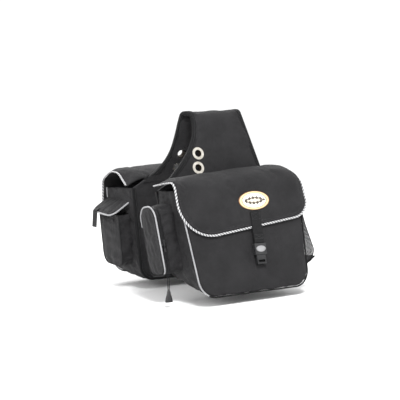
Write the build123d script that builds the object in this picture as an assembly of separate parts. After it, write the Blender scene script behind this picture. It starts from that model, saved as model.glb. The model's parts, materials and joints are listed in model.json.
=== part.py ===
from build123d import *
import math
import os

# A pair of nylon saddle bags joined by a padded yoke. Millimetres, +Z up, +X along the bags.
# The origin is on the flat underside of the yoke's top, where the yoke lies over what holds it up.
# The near bag hangs on the -Y side and the far bag on the +Y side.

# ---- Driving dimensions ----
BAG_WIDTH = 300.0          # width of each bag at its mouth
BAG_HEIGHT = 213.0         # mouth to bottom
SIDE_TAPER = 18.0          # each side draws in by this at the bottom
BOTTOM_RADIUS = 35.0       # lower corners of the front and back panels
BAND_HEIGHT = 18.0         # band of the back panel between the yoke seam and the mouth
MOUTH_DROP = 10.0          # the mouth is this much lower at the front than at the back

CLOTH = 2.0                # coated nylon with its backing
FRONT_THICK = 4.0          # quilted front panel
GUSSET_THICK = 3.0         # gusset strip round the left side, bottom and right side
LINING_THICK = 1.0
BACK_THICK = 8.0           # outer cloth, foam and lining of the back
PIPING_RADIUS = 2.2
ROPE_RADIUS = 2.4
TRIM_GAP = 0.4             # piping stands this clear of the edge that it trims

YOKE_DROP = 142.0          # underside of the yoke's top down to the seam with the bags
YOKE_SEAM_Y = 53.0         # half the gap between the two back panels at the seam
YOKE_TOP_HALF = 8.0        # half width of the flat underside
YOKE_BEND = 6.0            # inside bend radius at the top
YOKE_LAYERS = {"yoke_lining": 1.0, "yoke_foam": 5.0, "yoke_outer": 2.0}
YOKE_FOAM_INSET = 3.0
SEAM_GAP = 3.5             # the yoke ends this far above the seam's fold line
BINDING_WIDTH = 7.0        # tape round the back panel's edge
BINDING_THICK = 1.5

GROMMET_HOLE = 8.0         # radius of the eyelet's hole
GROMMET_WALL = 0.7
GROMMET_FLANGE = 14.0      # radius of the flange and of the washer
GROMMET_PLATE = 1.0        # thickness of the flange and of the washer
GROMMETS_XZ = [(-34.0, -87.0), (-40.0, -118.0)]

FLAP_THICK = 4.0
FLAP_OVERHANG = 7.0        # the flap is this much wider than the bag, each side
FLAP_STAND_OFF = 2.0       # from the front panel to the inside of the flap
WEBBING = 25.0             # 1 in webbing
WEBBING_THICK = 2.0

FLAP_POCKET_DEPTH = 32.0

YOKE_THICK = sum(YOKE_LAYERS.values())
LEG_ANGLE = math.degrees(math.atan((YOKE_SEAM_Y - YOKE_TOP_HALF) / YOKE_DROP))
MOUTH = -BAND_HEIGHT
BOTTOM = MOUTH - BAG_HEIGHT
HALF = BAG_WIDTH / 2

# Depth at the mouth and the bottom, outward lean of the bag, the flap's section as points
# (outward, up) from its hinge to the start of its front, its front's lower edge at the middle,
# the slope of that edge, the radii of its lower left and lower right corners, and how far the
# bag's bottom is raised at the back and at the front, because a packed bag sags to the front.
BAGS = {
    "near": dict(side=-1, depth=(104.0, 128.0), splay=9.0, crown=[(40.0, -4.0)], shoulder=-20.0,
                 drop=129.0, slope=6.0, corners=(72.0, 38.0), badge_x=24.0, strap_x=21.0, lean=2.0,
                 foot=(18.0, -22.0)),
    "far": dict(side=1, depth=(134.0, 138.0), splay=2.0, crown=[(38.0, 11.0), (80.0, 9.0)], shoulder=-14.0,
                drop=123.0, slope=0.0, corners=(50.0, 50.0), badge_x=0.0, strap_x=0.0, lean=0.0,
                foot=(0.0, 0.0)),
}
HINGE_V = BACK_THICK + 3.5
HINGE_W = 2.0

BADGE_SIZE = (77.0, 41.0)
BADGE_BELOW_SHOULDER = 54.0
STRAP_BELOW_BADGE = 25.0
SOCKET_BELOW_STRAP = 68.0
SOCKET_SIZE = (28.0, 24.0, 9.8)
TONGUE_SIZE = (22.0, 19.5)


# ---- Plain helpers ----
def polygon(points):
    return make_face(Polyline(*points, close=True))


def slab(sketch, start, end):
    """A sketch drawn as (x, up), made solid from start to end outward from the back (the -Y side)."""
    return extrude(Plane.XZ.offset(start) * sketch, amount=end - start)


def across(points, half=260.0):
    """A section drawn as (outward, up), made solid along X."""
    return extrude(Plane.YZ * polygon([(-v, w) for v, w in points]), amount=half, both=True)


def tube(points, radii, radius):
    """A round tube along straight runs joined by tangent arcs."""
    path = FilletPolyline(*points, radius=radii)
    start = Plane(origin=path @ 0, z_dir=path % 0)
    return sweep(start * Circle(radius), path=path)


def one(shape):
    """A shape as its single solid."""
    return shape.solids()[0]


def near_side(shape, splay):
    """From a bag's own frame to its place on the -Y side, leaning out by splay degrees."""
    return Pos(0, -YOKE_SEAM_Y, -YOKE_DROP) * Rot(-splay, 0, 0) * shape


PARTS = {}


def keep(name, shape):
    PARTS[name] = shape


def keep_in_bag(bag, name, shape):
    """Places a piece drawn in a bag's own frame and keeps it under the bag's name."""
    spec = BAGS[bag]
    placed = near_side(shape, spec["splay"])
    if spec["side"] > 0:
        placed = mirror(placed, about=Plane.XZ)
    keep(f"{bag}_{name}", placed)


# ---- Yoke ----
def yoke_section(thickness):
    """The region under a layer's outside, across the yoke, down to the seam."""
    region = polygon([
        (-YOKE_SEAM_Y, -YOKE_DROP), (-YOKE_TOP_HALF, 0), (YOKE_TOP_HALF, 0), (YOKE_SEAM_Y, -YOKE_DROP)])
    top = region.vertices().group_by(Axis.Y)[-1]
    region = fillet(top, YOKE_BEND)
    if thickness > 0:
        region = offset(region, thickness, kind=Kind.INTERSECTION)
    floor = Pos(0, SEAM_GAP - YOKE_DROP - 50) * Rectangle(400, 100)
    return region - floor


def yoke_outline(inset=0.0):
    """The yoke seen from the bags' side: hollowed on the left, nearly straight on the right."""
    low_left = (-142, -160)
    low_right = (128, -160)
    top_right = (90, 30)
    top_left = (-39, 30)
    left = Spline([top_left, (-39, 0), (-44, -46), (-58, -82), (-80, -111), (-108, -137), low_left])
    face = make_face([left, Line(low_left, low_right), Line(low_right, top_right), Line(top_right, top_left)])
    return (Pos(inset, 0) * face) & (Pos(-inset, 0) * face) if inset else face


def yoke_layer(low, high, outline):
    section = yoke_section(high) - yoke_section(low)
    body = extrude(Plane.YZ * section, amount=260, both=True)
    prism = extrude(Plane.XZ * outline, amount=200, both=True)
    return body & prism


def leg_plane(side, x, z, depth=0.0):
    """A plane on the underside of one leg, facing out, at a place seen from the bags' side."""
    lean = math.radians(LEG_ANGLE)
    y = YOKE_TOP_HALF + (YOKE_SEAM_Y - YOKE_TOP_HALF) * -z / YOKE_DROP
    normal = Vector(0, side * math.cos(lean), math.sin(lean))
    return Plane(origin=Vector(x, side * y, z) + normal * depth, x_dir=(1, 0, 0), z_dir=normal)


def ring(plane, outer, inner, height):
    return extrude(plane * (Circle(outer) - Circle(inner)), amount=height)


def make_yoke():
    places = [(side, x, z) for side in (-1, 1) for x, z in GROMMETS_XZ]
    holes = [
        extrude(leg_plane(side, x, z, -10) * Circle(GROMMET_HOLE + GROMMET_WALL + 0.05), amount=30)
        for side, x, z in places]
    low = 0.0
    for name, thickness in YOKE_LAYERS.items():
        inset = YOKE_FOAM_INSET if name == "yoke_foam" else 0.0
        layer = yoke_layer(low, low + thickness, yoke_outline(inset))
        for hole in holes:
            layer = layer - hole
        keep(name, layer)
        low += thickness
    grommets = []
    washers = []
    for side, x, z in places:
        top = leg_plane(side, x, z, YOKE_THICK)
        under = leg_plane(side, x, z, -GROMMET_PLATE)
        barrel = ring(under, GROMMET_HOLE + GROMMET_WALL, GROMMET_HOLE, YOKE_THICK + GROMMET_PLATE)
        grommets.append(barrel + ring(top, GROMMET_FLANGE, GROMMET_HOLE, GROMMET_PLATE))
        washers.append(ring(under, GROMMET_FLANGE, GROMMET_HOLE + GROMMET_WALL + 0.05, GROMMET_PLATE))
    keep("grommets", Compound(children=[one(g) for g in grommets]))
    keep("grommet_washers", Compound(children=[one(w) for w in washers]))


def make_yoke_binding():
    """Tape over the two free edges: a strip outside each edge, as thick as the yoke."""
    outline = yoke_outline()
    shell = yoke_section(YOKE_THICK) - yoke_section(0)
    body = extrude(Plane.YZ * shell, amount=260, both=True)
    tapes = []
    for side in (-1, 1):
        rim = Pos(side * BINDING_THICK, 0) * outline - outline
        tapes.append(one(body & extrude(Plane.XZ * rim, amount=200, both=True)))
    keep("yoke_binding", Compound(children=tapes))


# ---- Bag body ----
def half_width(w):
    """Half the bag's width at a height in the bag's own frame."""
    return HALF - SIDE_TAPER * (MOUTH - w) / BAG_HEIGHT


def outline(inset=0.0, top=MOUTH, foot=0.0):
    """The bag seen from the front, drawn in by inset, with its top and a raised foot as given."""
    low = BOTTOM + foot + inset
    face = polygon([
        (-half_width(top) + inset, top), (half_width(top) - inset, top),
        (half_width(low) - inset, low), (-half_width(low) + inset, low)])
    return fillet(face.vertices().group_by(Axis.Y)[0], BOTTOM_RADIUS - inset)


def foot_at(spec, v):
    """How far the bottom is raised at a distance out from the back."""
    back, front = spec["foot"]
    return back + (front - back) * v / spec["depth"][1]


def prism(spec, inset, start, end, top=MOUTH):
    """The bag's outline made solid from start to end outward from the back, with its sloped bottom."""
    if spec["foot"][0] == spec["foot"][1]:
        return slab(outline(inset, top, spec["foot"][0]), start, end)
    ends = [Plane.XZ.offset(v) * outline(inset, top, foot_at(spec, v)) for v in (start, end)]
    return loft(ends, ruled=True)


def depth_at(spec, w):
    top, bottom = spec["depth"]
    return top + (bottom - top) * (MOUTH - w) / BAG_HEIGHT


def behind_front(spec, inset):
    """Everything behind the front panel's outside, less inset."""
    high = 60
    low = BOTTOM - 60
    fronts = [(depth_at(spec, high) - inset, high), (depth_at(spec, low) - inset, low)]
    return across([(-5, high), *fronts, (-5, low)])


def below_mouth(spec):
    """Everything below the mouth, which slants down to the front."""
    far = spec["depth"][1] + 30
    slope = MOUTH_DROP / (spec["depth"][0] - BACK_THICK)
    return across([
        (-5, MOUTH), (BACK_THICK, MOUTH), (far, MOUTH - slope * (far - BACK_THICK)), (far, BOTTOM - 60),
        (-5, BOTTOM - 60)])


def make_body(bag):
    spec = BAGS[bag]
    far = spec["depth"][1] + 20
    body = below_mouth(spec)
    foam_end = BACK_THICK - LINING_THICK
    band = polygon([(-HALF, MOUTH), (-118, 0), (124, 0), (HALF, MOUTH)])
    keep_in_bag(bag, "back_panel", prism(spec, 0, 0, CLOTH) + slab(band, 0, BACK_THICK))
    keep_in_bag(bag, "back_foam", prism(spec, GUSSET_THICK + 0.1, CLOTH, foam_end - 0.05))
    front = prism(spec, 0, 0, far) & (behind_front(spec, 0) - behind_front(spec, FRONT_THICK)) & body
    keep_in_bag(bag, "front_panel", front)
    wall = prism(spec, 0, CLOTH, far) - prism(spec, GUSSET_THICK, 0, far + 5, 20)
    keep_in_bag(bag, "gusset", wall & behind_front(spec, FRONT_THICK) & body)
    skin = prism(spec, GUSSET_THICK + 0.05, foam_end, far) & behind_front(spec, FRONT_THICK + 0.05) & body
    room = prism(spec, GUSSET_THICK + LINING_THICK, BACK_THICK, far, 40)
    hollow = room & behind_front(spec, FRONT_THICK + LINING_THICK)
    keep_in_bag(bag, "lining", skin - hollow)
    tape = prism(spec, -BINDING_THICK, 0, BINDING_WIDTH) - prism(spec, 0, -1, BINDING_WIDTH + 1, 20)
    keep_in_bag(bag, "back_binding", tape)
    keep_in_bag(bag, "front_piping", front_piping(spec))


def front_piping(spec):
    """Piping down the left seam of the front panel, along its bottom and up the right seam."""
    out = PIPING_RADIUS + TRIM_GAP
    top = MOUTH - MOUTH_DROP
    front = depth_at(spec, BOTTOM + spec["foot"][1]) - FRONT_THICK / 2
    low = BOTTOM + foot_at(spec, front) - out

    def at(x, w):
        return (x, -(depth_at(spec, w) - FRONT_THICK / 2), w)

    points = [
        at(-half_width(top) - out, top), at(-half_width(low) - out, low),
        at(half_width(low) + out, low), at(half_width(top) + out, top)]
    return tube(points, [BOTTOM_RADIUS + out] * 2, PIPING_RADIUS)


# ---- Flap, badge, strap and buckle ----
def front_tilt(spec):
    return math.degrees(math.atan((spec["depth"][1] - spec["depth"][0]) / BAG_HEIGHT))


def flap_place(spec):
    """The flap's frame: at its hinge, turned so that the bag's front panel is upright in it."""
    return Pos(0, -HINGE_V, HINGE_W) * Rot(-front_tilt(spec), 0, 0)


def flap_front(spec):
    """How far the flap's front stands from its hinge, at mid-thickness, in the flap's frame."""
    tilt = math.radians(front_tilt(spec))
    out = (spec["depth"][0] - HINGE_V) * math.cos(tilt) + (MOUTH - HINGE_W) * math.sin(tilt)
    return out + FLAP_STAND_OFF + FLAP_THICK / 2


def flap_line(spec, low):
    """The middle of the flap's thickness as (outward, up) points from the hinge, and the bends."""
    front = flap_front(spec)
    points = [(0, 0)] + spec["crown"] + [(front, spec["shoulder"]), (front, low)]
    radii = [60.0] * len(spec["crown"]) + [20.0]
    return points, radii


def flap_outline(spec, grow=0.0):
    """The flap seen from the front: straight sides, a sloping lower edge and rounded lower corners."""
    half = HALF + FLAP_OVERHANG + grow
    rise = half * math.tan(math.radians(spec["slope"]))
    low = -spec["drop"] - grow
    face = polygon([(-half, 40), (half, 40), (half, low + rise), (-half, low - rise)])
    lowest = [(-half, low - rise), (half, low + rise)]
    for (x, y), radius in zip(lowest, spec["corners"]):
        corner = min(face.vertices(), key=lambda v: abs(v.X - x) + abs(v.Y - y))
        face = fillet(corner, radius + grow)
    return face


def make_flap(bag):
    spec = BAGS[bag]
    place = flap_place(spec)
    points, radii = flap_line(spec, -spec["drop"] - 40)
    middle = FilletPolyline(*[(-v, w) for v, w in points], radius=radii)
    section = offset(middle, FLAP_THICK / 2, kind=Kind.ARC, side=Side.BOTH)
    sheet = extrude(Plane.YZ * make_face(section), amount=260, both=True)
    behind_hinge = Pos(0, 50 - 0.5, 0) * Box(600, 100, 100)
    flap = (sheet - behind_hinge) & slab(flap_outline(spec), -20, flap_front(spec) + 20)
    keep_in_bag(bag, "flap", place * flap)
    keep_in_bag(bag, "flap_rope", place * flap_rope(spec))
    front = flap_front(spec) + FLAP_THICK / 2
    badge = slab(Ellipse(BADGE_SIZE[0] / 2, BADGE_SIZE[1] / 2), 0, 1.8)
    badge_up = spec["shoulder"] - BADGE_BELOW_SHOULDER
    keep_in_bag(bag, "badge", place * Pos(spec["badge_x"], -front, badge_up) * badge)


def flap_rope(spec):
    """Twisted cord piping along the flap's left side, lower edge and right side."""
    out = ROPE_RADIUS + TRIM_GAP
    half = HALF + FLAP_OVERHANG + out
    rise = half * math.tan(math.radians(spec["slope"]))
    low = -spec["drop"] - out
    side, radii = flap_line(spec, low)
    side = side[:-1]
    side[0] = (4.0, side[1][1] * 4.0 / side[1][0])
    left = [(-half, -v, w) for v, w in side] + [(-half, -flap_front(spec), low - rise)]
    right = [(half, -v, w) for v, w in side] + [(half, -flap_front(spec), low + rise)]
    lower_left, lower_right = spec["corners"]
    bends = radii + [lower_left + out, lower_right + out] + radii[::-1]
    return tube(left + right[::-1], bends, ROPE_RADIUS)


def strap_place(spec):
    """The strap's frame: its stitched top end, on the outside of the flap's front."""
    top = spec["shoulder"] - BADGE_BELOW_SHOULDER - STRAP_BELOW_BADGE
    front = flap_front(spec) + FLAP_THICK / 2 + 0.4
    return flap_place(spec) * Pos(spec["strap_x"], -front, top) * Rot(0, spec["lean"], 0)


def block(width, low, high, start, end):
    """A box in the strap's frame: its width, its lower and upper ends, and outward from start to end."""
    return slab(Pos(0, (low + high) / 2) * Rectangle(width, high - low), start, end)


def make_closure(bag):
    """Webbing strap with the buckle's socket, and the tongue that stays on the bag's front."""
    spec = BAGS[bag]
    place = strap_place(spec)
    to_bag = FLAP_STAND_OFF + FLAP_THICK + 0.4
    top = -SOCKET_BELOW_STRAP
    width, height, thick = SOCKET_SIZE
    low = top - height
    back = -to_bag + 0.5
    keep_in_bag(bag, "strap", place * block(WEBBING, top, 0, 0, WEBBING_THICK))
    socket = block(width, low, top, back, back + thick)
    cavity = block(width - 5, low - 1, top - 4, back + 1.5, back + thick - 1.8)
    windows = block(width + 2, low + 6, low + 14, back + 2.5, back + thick - 2.8)
    keep_in_bag(bag, "buckle_socket", place * (socket - cavity - windows))
    emblem = slab(Pos(0, top - height / 2) * Ellipse(11.5, 6.5), back + thick, back + thick + 1.2)
    keep_in_bag(bag, "buckle_emblem", place * emblem)
    tongue_top = low - 0.5
    tongue_low = tongue_top - TONGUE_SIZE[1]
    tongue = block(TONGUE_SIZE[0], tongue_low, tongue_top, back + 2.2, back + 8.0)
    slot = block(TONGUE_SIZE[0] - 6, tongue_low + 4, tongue_low + 9, back, back + 10)
    keep_in_bag(bag, "buckle_tongue", place * (tongue - slot))
    prongs = [
        Pos(x, 0, 0) * block(w, tongue_top, tongue_top + 16, back + 3.6, back + 6.6)
        for x, w in ((-8.5, 3.5), (0, 3.0), (8.5, 3.5))]
    keep_in_bag(bag, "buckle_prongs", Compound(children=[one(place * p) for p in prongs]))
    anchor = block(WEBBING - 3, tongue_low - 2, tongue_low + 12, back - 0.4, back + 1.6)
    keep_in_bag(bag, "anchor_webbing", place * anchor)


# ---- Pockets on the bag's sides ----
def side_plane(spec, side, stand=0.2):
    """A plane on the bag's left (-1) or right (+1) side wall at the mouth, facing out.
    Its x runs outward from the back of the bag, or the other way on the right, and its y runs up."""
    run = math.hypot(SIDE_TAPER, BAG_HEIGHT)
    normal = Vector(side * BAG_HEIGHT / run, 0, -SIDE_TAPER / run)
    origin = Vector(side * HALF, 0, MOUTH) + normal * stand
    return Plane(origin=origin, x_dir=(0, side, 0), z_dir=normal)


def side_rectangle(side, v_range, q_range):
    """A rectangle on a side plane, given outward from the back and up from the mouth."""
    across_wall = -side * (v_range[0] + v_range[1]) / 2
    centre = Pos(across_wall, (q_range[0] + q_range[1]) / 2)
    return centre * Rectangle(v_range[1] - v_range[0], q_range[1] - q_range[0])


def side_slab(spec, side, sketch, start, end):
    return extrude(side_plane(spec, side, start) * sketch, amount=end - start)


ZIP_V = (8.0, 72.0)
ZIP_Q = (-175.0, -31.0)
ZIP_TOP_RADIUS = 26.0
ZIP_LOW_RADIUS = 20.0
ZIP_GUSSET_END = 36.0      # the gusset's outer edge, where the zip's tape starts
ZIP_CHAIN = (39.5, 44.5)
ZIP_PANEL = (46.6, 50.6)
ZIP_END_Q = -145.0         # the zip's lower ends on the two straight runs


def zip_outline(grow=0.0):
    face = side_rectangle(-1, (ZIP_V[0] - grow, ZIP_V[1] + grow), (ZIP_Q[0] - grow, ZIP_Q[1] + grow))
    face = fillet(face.vertices().group_by(Axis.Y)[-1], ZIP_TOP_RADIUS + grow)
    return fillet(face.vertices().group_by(Axis.Y)[0], ZIP_LOW_RADIUS + grow)


def zip_wall(spec, start, end, inset=0.0, thick=2.5):
    return side_slab(spec, -1, zip_outline(-inset) - zip_outline(-inset - thick), start, end)


def make_zip_pocket():
    """The near bag's pocket on its left side: a gusset, a zip over its top, and an outer panel."""
    bag = "near"
    spec = BAGS[bag]
    upper = side_slab(spec, -1, side_rectangle(-1, (-20, 120), (ZIP_END_Q, 0)), -5, 60)
    lower = side_slab(spec, -1, side_rectangle(-1, (-20, 120), (-220, ZIP_END_Q)), -5, 60)
    gusset = zip_wall(spec, 0.2, ZIP_GUSSET_END) + (zip_wall(spec, 0.2, ZIP_PANEL[0] - 0.1) & lower)
    keep_in_bag(bag, "zip_gusset", gusset)
    tapes = [
        zip_wall(spec, ZIP_GUSSET_END + 0.05, ZIP_CHAIN[0], 0.4, 1.2) & upper,
        zip_wall(spec, ZIP_CHAIN[1], ZIP_PANEL[0] - 0.1, 0.4, 1.2) & upper]
    keep_in_bag(bag, "zip_tape", Compound(children=[one(t) for t in tapes]))
    keep_in_bag(bag, "zip_chain", zip_wall(spec, *ZIP_CHAIN, 0.0, 2.0) & upper)
    keep_in_bag(bag, "zip_panel", side_slab(spec, -1, zip_outline(), *ZIP_PANEL))
    ring_line = zip_outline(PIPING_RADIUS + TRIM_GAP)
    middle = side_plane(spec, -1, sum(ZIP_PANEL) / 2)
    path = (middle * ring_line).wires()[0]
    start = Plane(origin=path @ 0, z_dir=path % 0)
    keep_in_bag(bag, "zip_piping", sweep(start * Circle(PIPING_RADIUS), path=path))


SLIDER_Q = -109.0
SLIDER_S = sum(ZIP_CHAIN) / 2
SLIDER_LIFT = 0.5          # slider's underside above the chain
PULLER_LENGTH = 20.0


def zip_front(spec, q, out):
    """A plane on the zip where it runs up the pocket's front side: x points to the bag, y up."""
    wall = side_plane(spec, -1, SLIDER_S)
    origin = wall.from_local_coords((ZIP_V[1] + out, q))
    return Plane(origin=origin, x_dir=-wall.z_dir, z_dir=(0, -1, 0))


def make_slider():
    """Zip slider, its puller and the two strands of the pull cord with their grip."""
    bag = "near"
    spec = BAGS[bag]
    base = zip_front(spec, SLIDER_Q, SLIDER_LIFT)
    plate = extrude(base * Rectangle(8, 12), amount=1.6)
    cheeks = [
        extrude(base.offset(1.6) * Pos(x, 2) * Rectangle(1.4, 5), amount=2.6) for x in (-1.9, 1.9)]
    bridge = extrude(base.offset(3.6) * Pos(0, 4.2) * Rectangle(5.2, 1.6), amount=1.4)
    top = extrude(base.offset(1.6) * Pos(0, 4.2) * Rectangle(5.2, 1.6), amount=2.1)
    keep_in_bag(bag, "zip_slider", plate + cheeks[0] + cheeks[1] + top + bridge)
    hinge = zip_front(spec, SLIDER_Q + 1.5, SLIDER_LIFT + 2.9)
    arm = Pos(0, -PULLER_LENGTH / 2 + 1) * Rectangle(1.8, PULLER_LENGTH)
    wide = Pos(0, -PULLER_LENGTH + 2.5) * RectangleRounded(5, 8, 1.5)
    keep_in_bag(bag, "zip_puller", extrude(hinge * (arm + wide), amount=0.6, both=True))


# The pull cord's two strands leave the puller side by side, lie along the pocket, hang plumb below
# it and end in the grip. World points, to the left strand's middle; the right one mirrors them in X.
CORD_RADIUS = 0.9
CORD_X = -181.3
CORD_STRAND = [
    (-1.2, -150.5, -279.3), (-2.1, -153.7, -289.5), (-2.8, -158.1, -304.0), (-2.4, -160.4, -322.0),
    (-1.8, -160.2, -340.0), (-1.3, -160.4, -358.0)]
GRIP_HEIGHT = 24.0
GRIP_TOP = (7.0, 5.0)
GRIP_FOOT = (17.0, 7.5)


def limp_radii(points):
    """An arc for each corner, as large as its two runs allow."""
    radii = []
    for before, here, after in zip(points, points[1:], points[2:]):
        run_in = Vector(*here) - Vector(*before)
        run_out = Vector(*after) - Vector(*here)
        turn = math.radians(run_in.get_angle(run_out))
        radii.append(0.45 * min(run_in.length, run_out.length) / math.tan(turn / 2))
    return radii


def make_pull_cord():
    for name, side in (("left", 1), ("right", -1)):
        points = [(CORD_X + side * x, y, z) for x, y, z in CORD_STRAND]
        radii = limp_radii(points)
        print("pull cord", name, "arc radii", [round(r) for r in radii])
        keep(f"near_cord_{name}", tube(points, radii, CORD_RADIUS))
    x, y, z = CORD_X, CORD_STRAND[-1][1], CORD_STRAND[-1][2] - 0.1
    top = Pos(x, y, z) * RectangleRounded(*GRIP_TOP, 2)
    foot = Pos(x, y, z - GRIP_HEIGHT) * RectangleRounded(*GRIP_FOOT, 2)
    keep("near_grip", loft([foot, top]))


# ---- Mesh bottle pocket on each bag's right side ----
MESH_V = (28.0, 106.0)
MESH_WALL = 1.6
MESH_HEM = (-77.0, -70.0)
MESH_OUTSIDE = [(0, -70), (10, -70), (10, -77), (42, -160), (37, -174), (7, -194), (0, -194)]
MESH_INSIDE = [(-1, -65), (8.4, -65), (8.4, -77.3), (40.2, -159.9),
               (35.7, -172.6), (6.5, -192.4), (-1, -192.4)]
MESH_TRIM = [(37.3, -174.5), (7.2, -195.0), (6.0, -197.2), (38.8, -175.6)]


def side_section(spec, points, v_start, v_end):
    """A section drawn as (out from the right side wall, up), made solid along the bag's depth."""
    wall = side_plane(spec, 1)
    plane = Plane(origin=wall.from_local_coords((-v_start, 0)), x_dir=wall.z_dir, z_dir=(0, -1, 0))
    return extrude(plane * polygon(points), amount=v_end - v_start)


def make_mesh_pocket(bag):
    spec = BAGS[bag]
    low, high = MESH_V
    shell = side_section(spec, MESH_OUTSIDE, low, high)
    room = side_section(spec, MESH_INSIDE, low + MESH_WALL, high - MESH_WALL)
    keep_in_bag(bag, "mesh_pocket", shell - room)
    hem = [(10.05, MESH_HEM[0]), (11.4, MESH_HEM[0]), (11.4, MESH_HEM[1]), (10.05, MESH_HEM[1])]
    keep_in_bag(bag, "mesh_hem", side_section(spec, hem, low, high))
    keep_in_bag(bag, "mesh_trim", side_section(spec, MESH_TRIM, low, high))


# ---- Far bag's flap pocket ----
POCKET_V = (22.0, 122.0)
POCKET_Q = (-180.0, -60.0)
POCKET_WALL = 2.5
POCKET_FLAP_Q = -32.0
POCKET_FLAP_LENGTH = 52.0
POCKET_FLAP_DROOP = 32.0   # degrees below level
POCKET_FLAP_OVERHANG = 2.0
POCKET_FLAP_RADIUS = 18.0
PATCH_V = (44.0, 104.0)
TAB_V = (94.0, 116.0)
TAB_LENGTH = 38.0


def make_flap_pocket():
    bag = "far"
    spec = BAGS[bag]
    outer = fillet(
        side_rectangle(-1, POCKET_V, POCKET_Q).vertices().group_by(Axis.Y)[0], 24)
    inner = side_rectangle(
        -1, (POCKET_V[0] + POCKET_WALL, POCKET_V[1] - POCKET_WALL), (POCKET_Q[0] + POCKET_WALL, 10))
    inner = fillet(inner.vertices().group_by(Axis.Y)[0], 24 - POCKET_WALL)
    shell = side_slab(spec, -1, outer, 0.2, FLAP_POCKET_DEPTH)
    room = side_slab(spec, -1, inner, 0.0, FLAP_POCKET_DEPTH - POCKET_WALL)
    keep_in_bag(bag, "pocket_body", shell - room)
    edge = side_plane(spec, -1, 2.0)
    hinge = edge.from_local_coords((POCKET_V[0] + 2, POCKET_FLAP_Q))
    droop = math.radians(POCKET_FLAP_DROOP)
    outward = Vector(-math.cos(droop), 0, -math.sin(droop))
    sheet = Plane(origin=hinge, x_dir=(0, -1, 0), z_dir=Vector(0, -1, 0).cross(outward))
    width = POCKET_V[1] - POCKET_V[0] + 2 * POCKET_FLAP_OVERHANG
    centre = Pos(width / 2 - POCKET_FLAP_OVERHANG, POCKET_FLAP_LENGTH / 2)
    panel = centre * Rectangle(width, POCKET_FLAP_LENGTH)
    panel = fillet(panel.vertices().group_by(Axis.Y)[-1], POCKET_FLAP_RADIUS)
    keep_in_bag(bag, "pocket_flap", extrude(sheet * panel, amount=1.5, both=True))
    out = PIPING_RADIUS + TRIM_GAP
    ends = (-POCKET_FLAP_OVERHANG - out, width - POCKET_FLAP_OVERHANG + out)
    low = POCKET_FLAP_LENGTH + out
    line = [(ends[0], 14), (ends[0], low), (ends[1], low), (ends[1], 14)]
    points = [tuple(sheet.from_local_coords(p)) for p in line]
    keep_in_bag(bag, "pocket_piping", tube(points, [POCKET_FLAP_RADIUS + out] * 2, PIPING_RADIUS))
    hook = side_rectangle(-1, PATCH_V, (POCKET_Q[1] - 30, POCKET_Q[1] - 10))
    patch = side_slab(spec, -1, hook, FLAP_POCKET_DEPTH + 0.02, FLAP_POCKET_DEPTH + 1.2)
    keep_in_bag(bag, "hook_patch", patch)
    loop = Pos((PATCH_V[0] + PATCH_V[1]) / 2 - POCKET_V[0] - 2, POCKET_FLAP_LENGTH - 18)
    patch = loop * Rectangle(PATCH_V[1] - PATCH_V[0], 20)
    keep_in_bag(bag, "loop_patch", extrude(sheet.offset(1.52) * patch, amount=1.2))
    edge_point = sheet.from_local_coords((TAB_V[0] - POCKET_V[0] - 2, POCKET_FLAP_LENGTH - 5))
    tab_width = TAB_V[1] - TAB_V[0]
    tab_plane = Plane(origin=edge_point, x_dir=(0, -1, 0), z_dir=(-1, 0, 0))
    tab = Pos(tab_width / 2, -TAB_LENGTH / 2 - 3.2) * Rectangle(tab_width, TAB_LENGTH)
    keep_in_bag(bag, "pull_tab", extrude(tab_plane * tab, amount=1.8))


def main():
    os.makedirs("parts", exist_ok=True)
    make_yoke()
    make_yoke_binding()
    for bag in BAGS:
        make_body(bag)
        make_flap(bag)
        make_closure(bag)
        make_mesh_pocket(bag)
    make_zip_pocket()
    make_slider()
    make_pull_cord()
    make_flap_pocket()
    for name, shape in PARTS.items():
        export_step(shape, f"parts/{name}.step")


main()
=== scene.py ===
import bmesh
import bpy
import json
import math
import numpy as np
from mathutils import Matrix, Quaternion, Vector


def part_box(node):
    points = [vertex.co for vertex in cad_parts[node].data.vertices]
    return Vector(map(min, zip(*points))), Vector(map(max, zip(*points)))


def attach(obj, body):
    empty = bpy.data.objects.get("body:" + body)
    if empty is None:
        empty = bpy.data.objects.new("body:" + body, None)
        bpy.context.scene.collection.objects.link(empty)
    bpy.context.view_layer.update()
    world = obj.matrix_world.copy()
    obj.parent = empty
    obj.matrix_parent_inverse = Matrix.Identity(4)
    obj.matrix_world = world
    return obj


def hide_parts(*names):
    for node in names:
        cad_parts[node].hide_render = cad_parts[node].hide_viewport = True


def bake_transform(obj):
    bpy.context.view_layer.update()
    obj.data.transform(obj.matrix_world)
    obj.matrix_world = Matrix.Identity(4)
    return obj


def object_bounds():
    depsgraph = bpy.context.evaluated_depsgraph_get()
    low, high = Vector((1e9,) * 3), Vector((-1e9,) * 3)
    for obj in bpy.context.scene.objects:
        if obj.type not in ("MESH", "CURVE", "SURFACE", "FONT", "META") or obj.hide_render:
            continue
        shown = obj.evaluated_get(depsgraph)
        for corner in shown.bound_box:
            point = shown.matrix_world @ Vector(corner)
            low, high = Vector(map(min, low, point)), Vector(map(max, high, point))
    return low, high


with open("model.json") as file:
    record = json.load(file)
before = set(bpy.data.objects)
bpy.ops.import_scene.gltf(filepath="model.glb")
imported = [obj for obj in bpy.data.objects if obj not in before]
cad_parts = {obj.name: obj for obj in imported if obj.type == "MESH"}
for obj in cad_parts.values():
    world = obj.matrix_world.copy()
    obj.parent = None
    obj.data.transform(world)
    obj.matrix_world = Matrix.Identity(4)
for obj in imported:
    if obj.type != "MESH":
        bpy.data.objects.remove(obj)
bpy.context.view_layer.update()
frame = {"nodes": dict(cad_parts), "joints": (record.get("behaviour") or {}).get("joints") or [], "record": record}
NODES = frame["nodes"]
MM = 0.001

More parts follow.
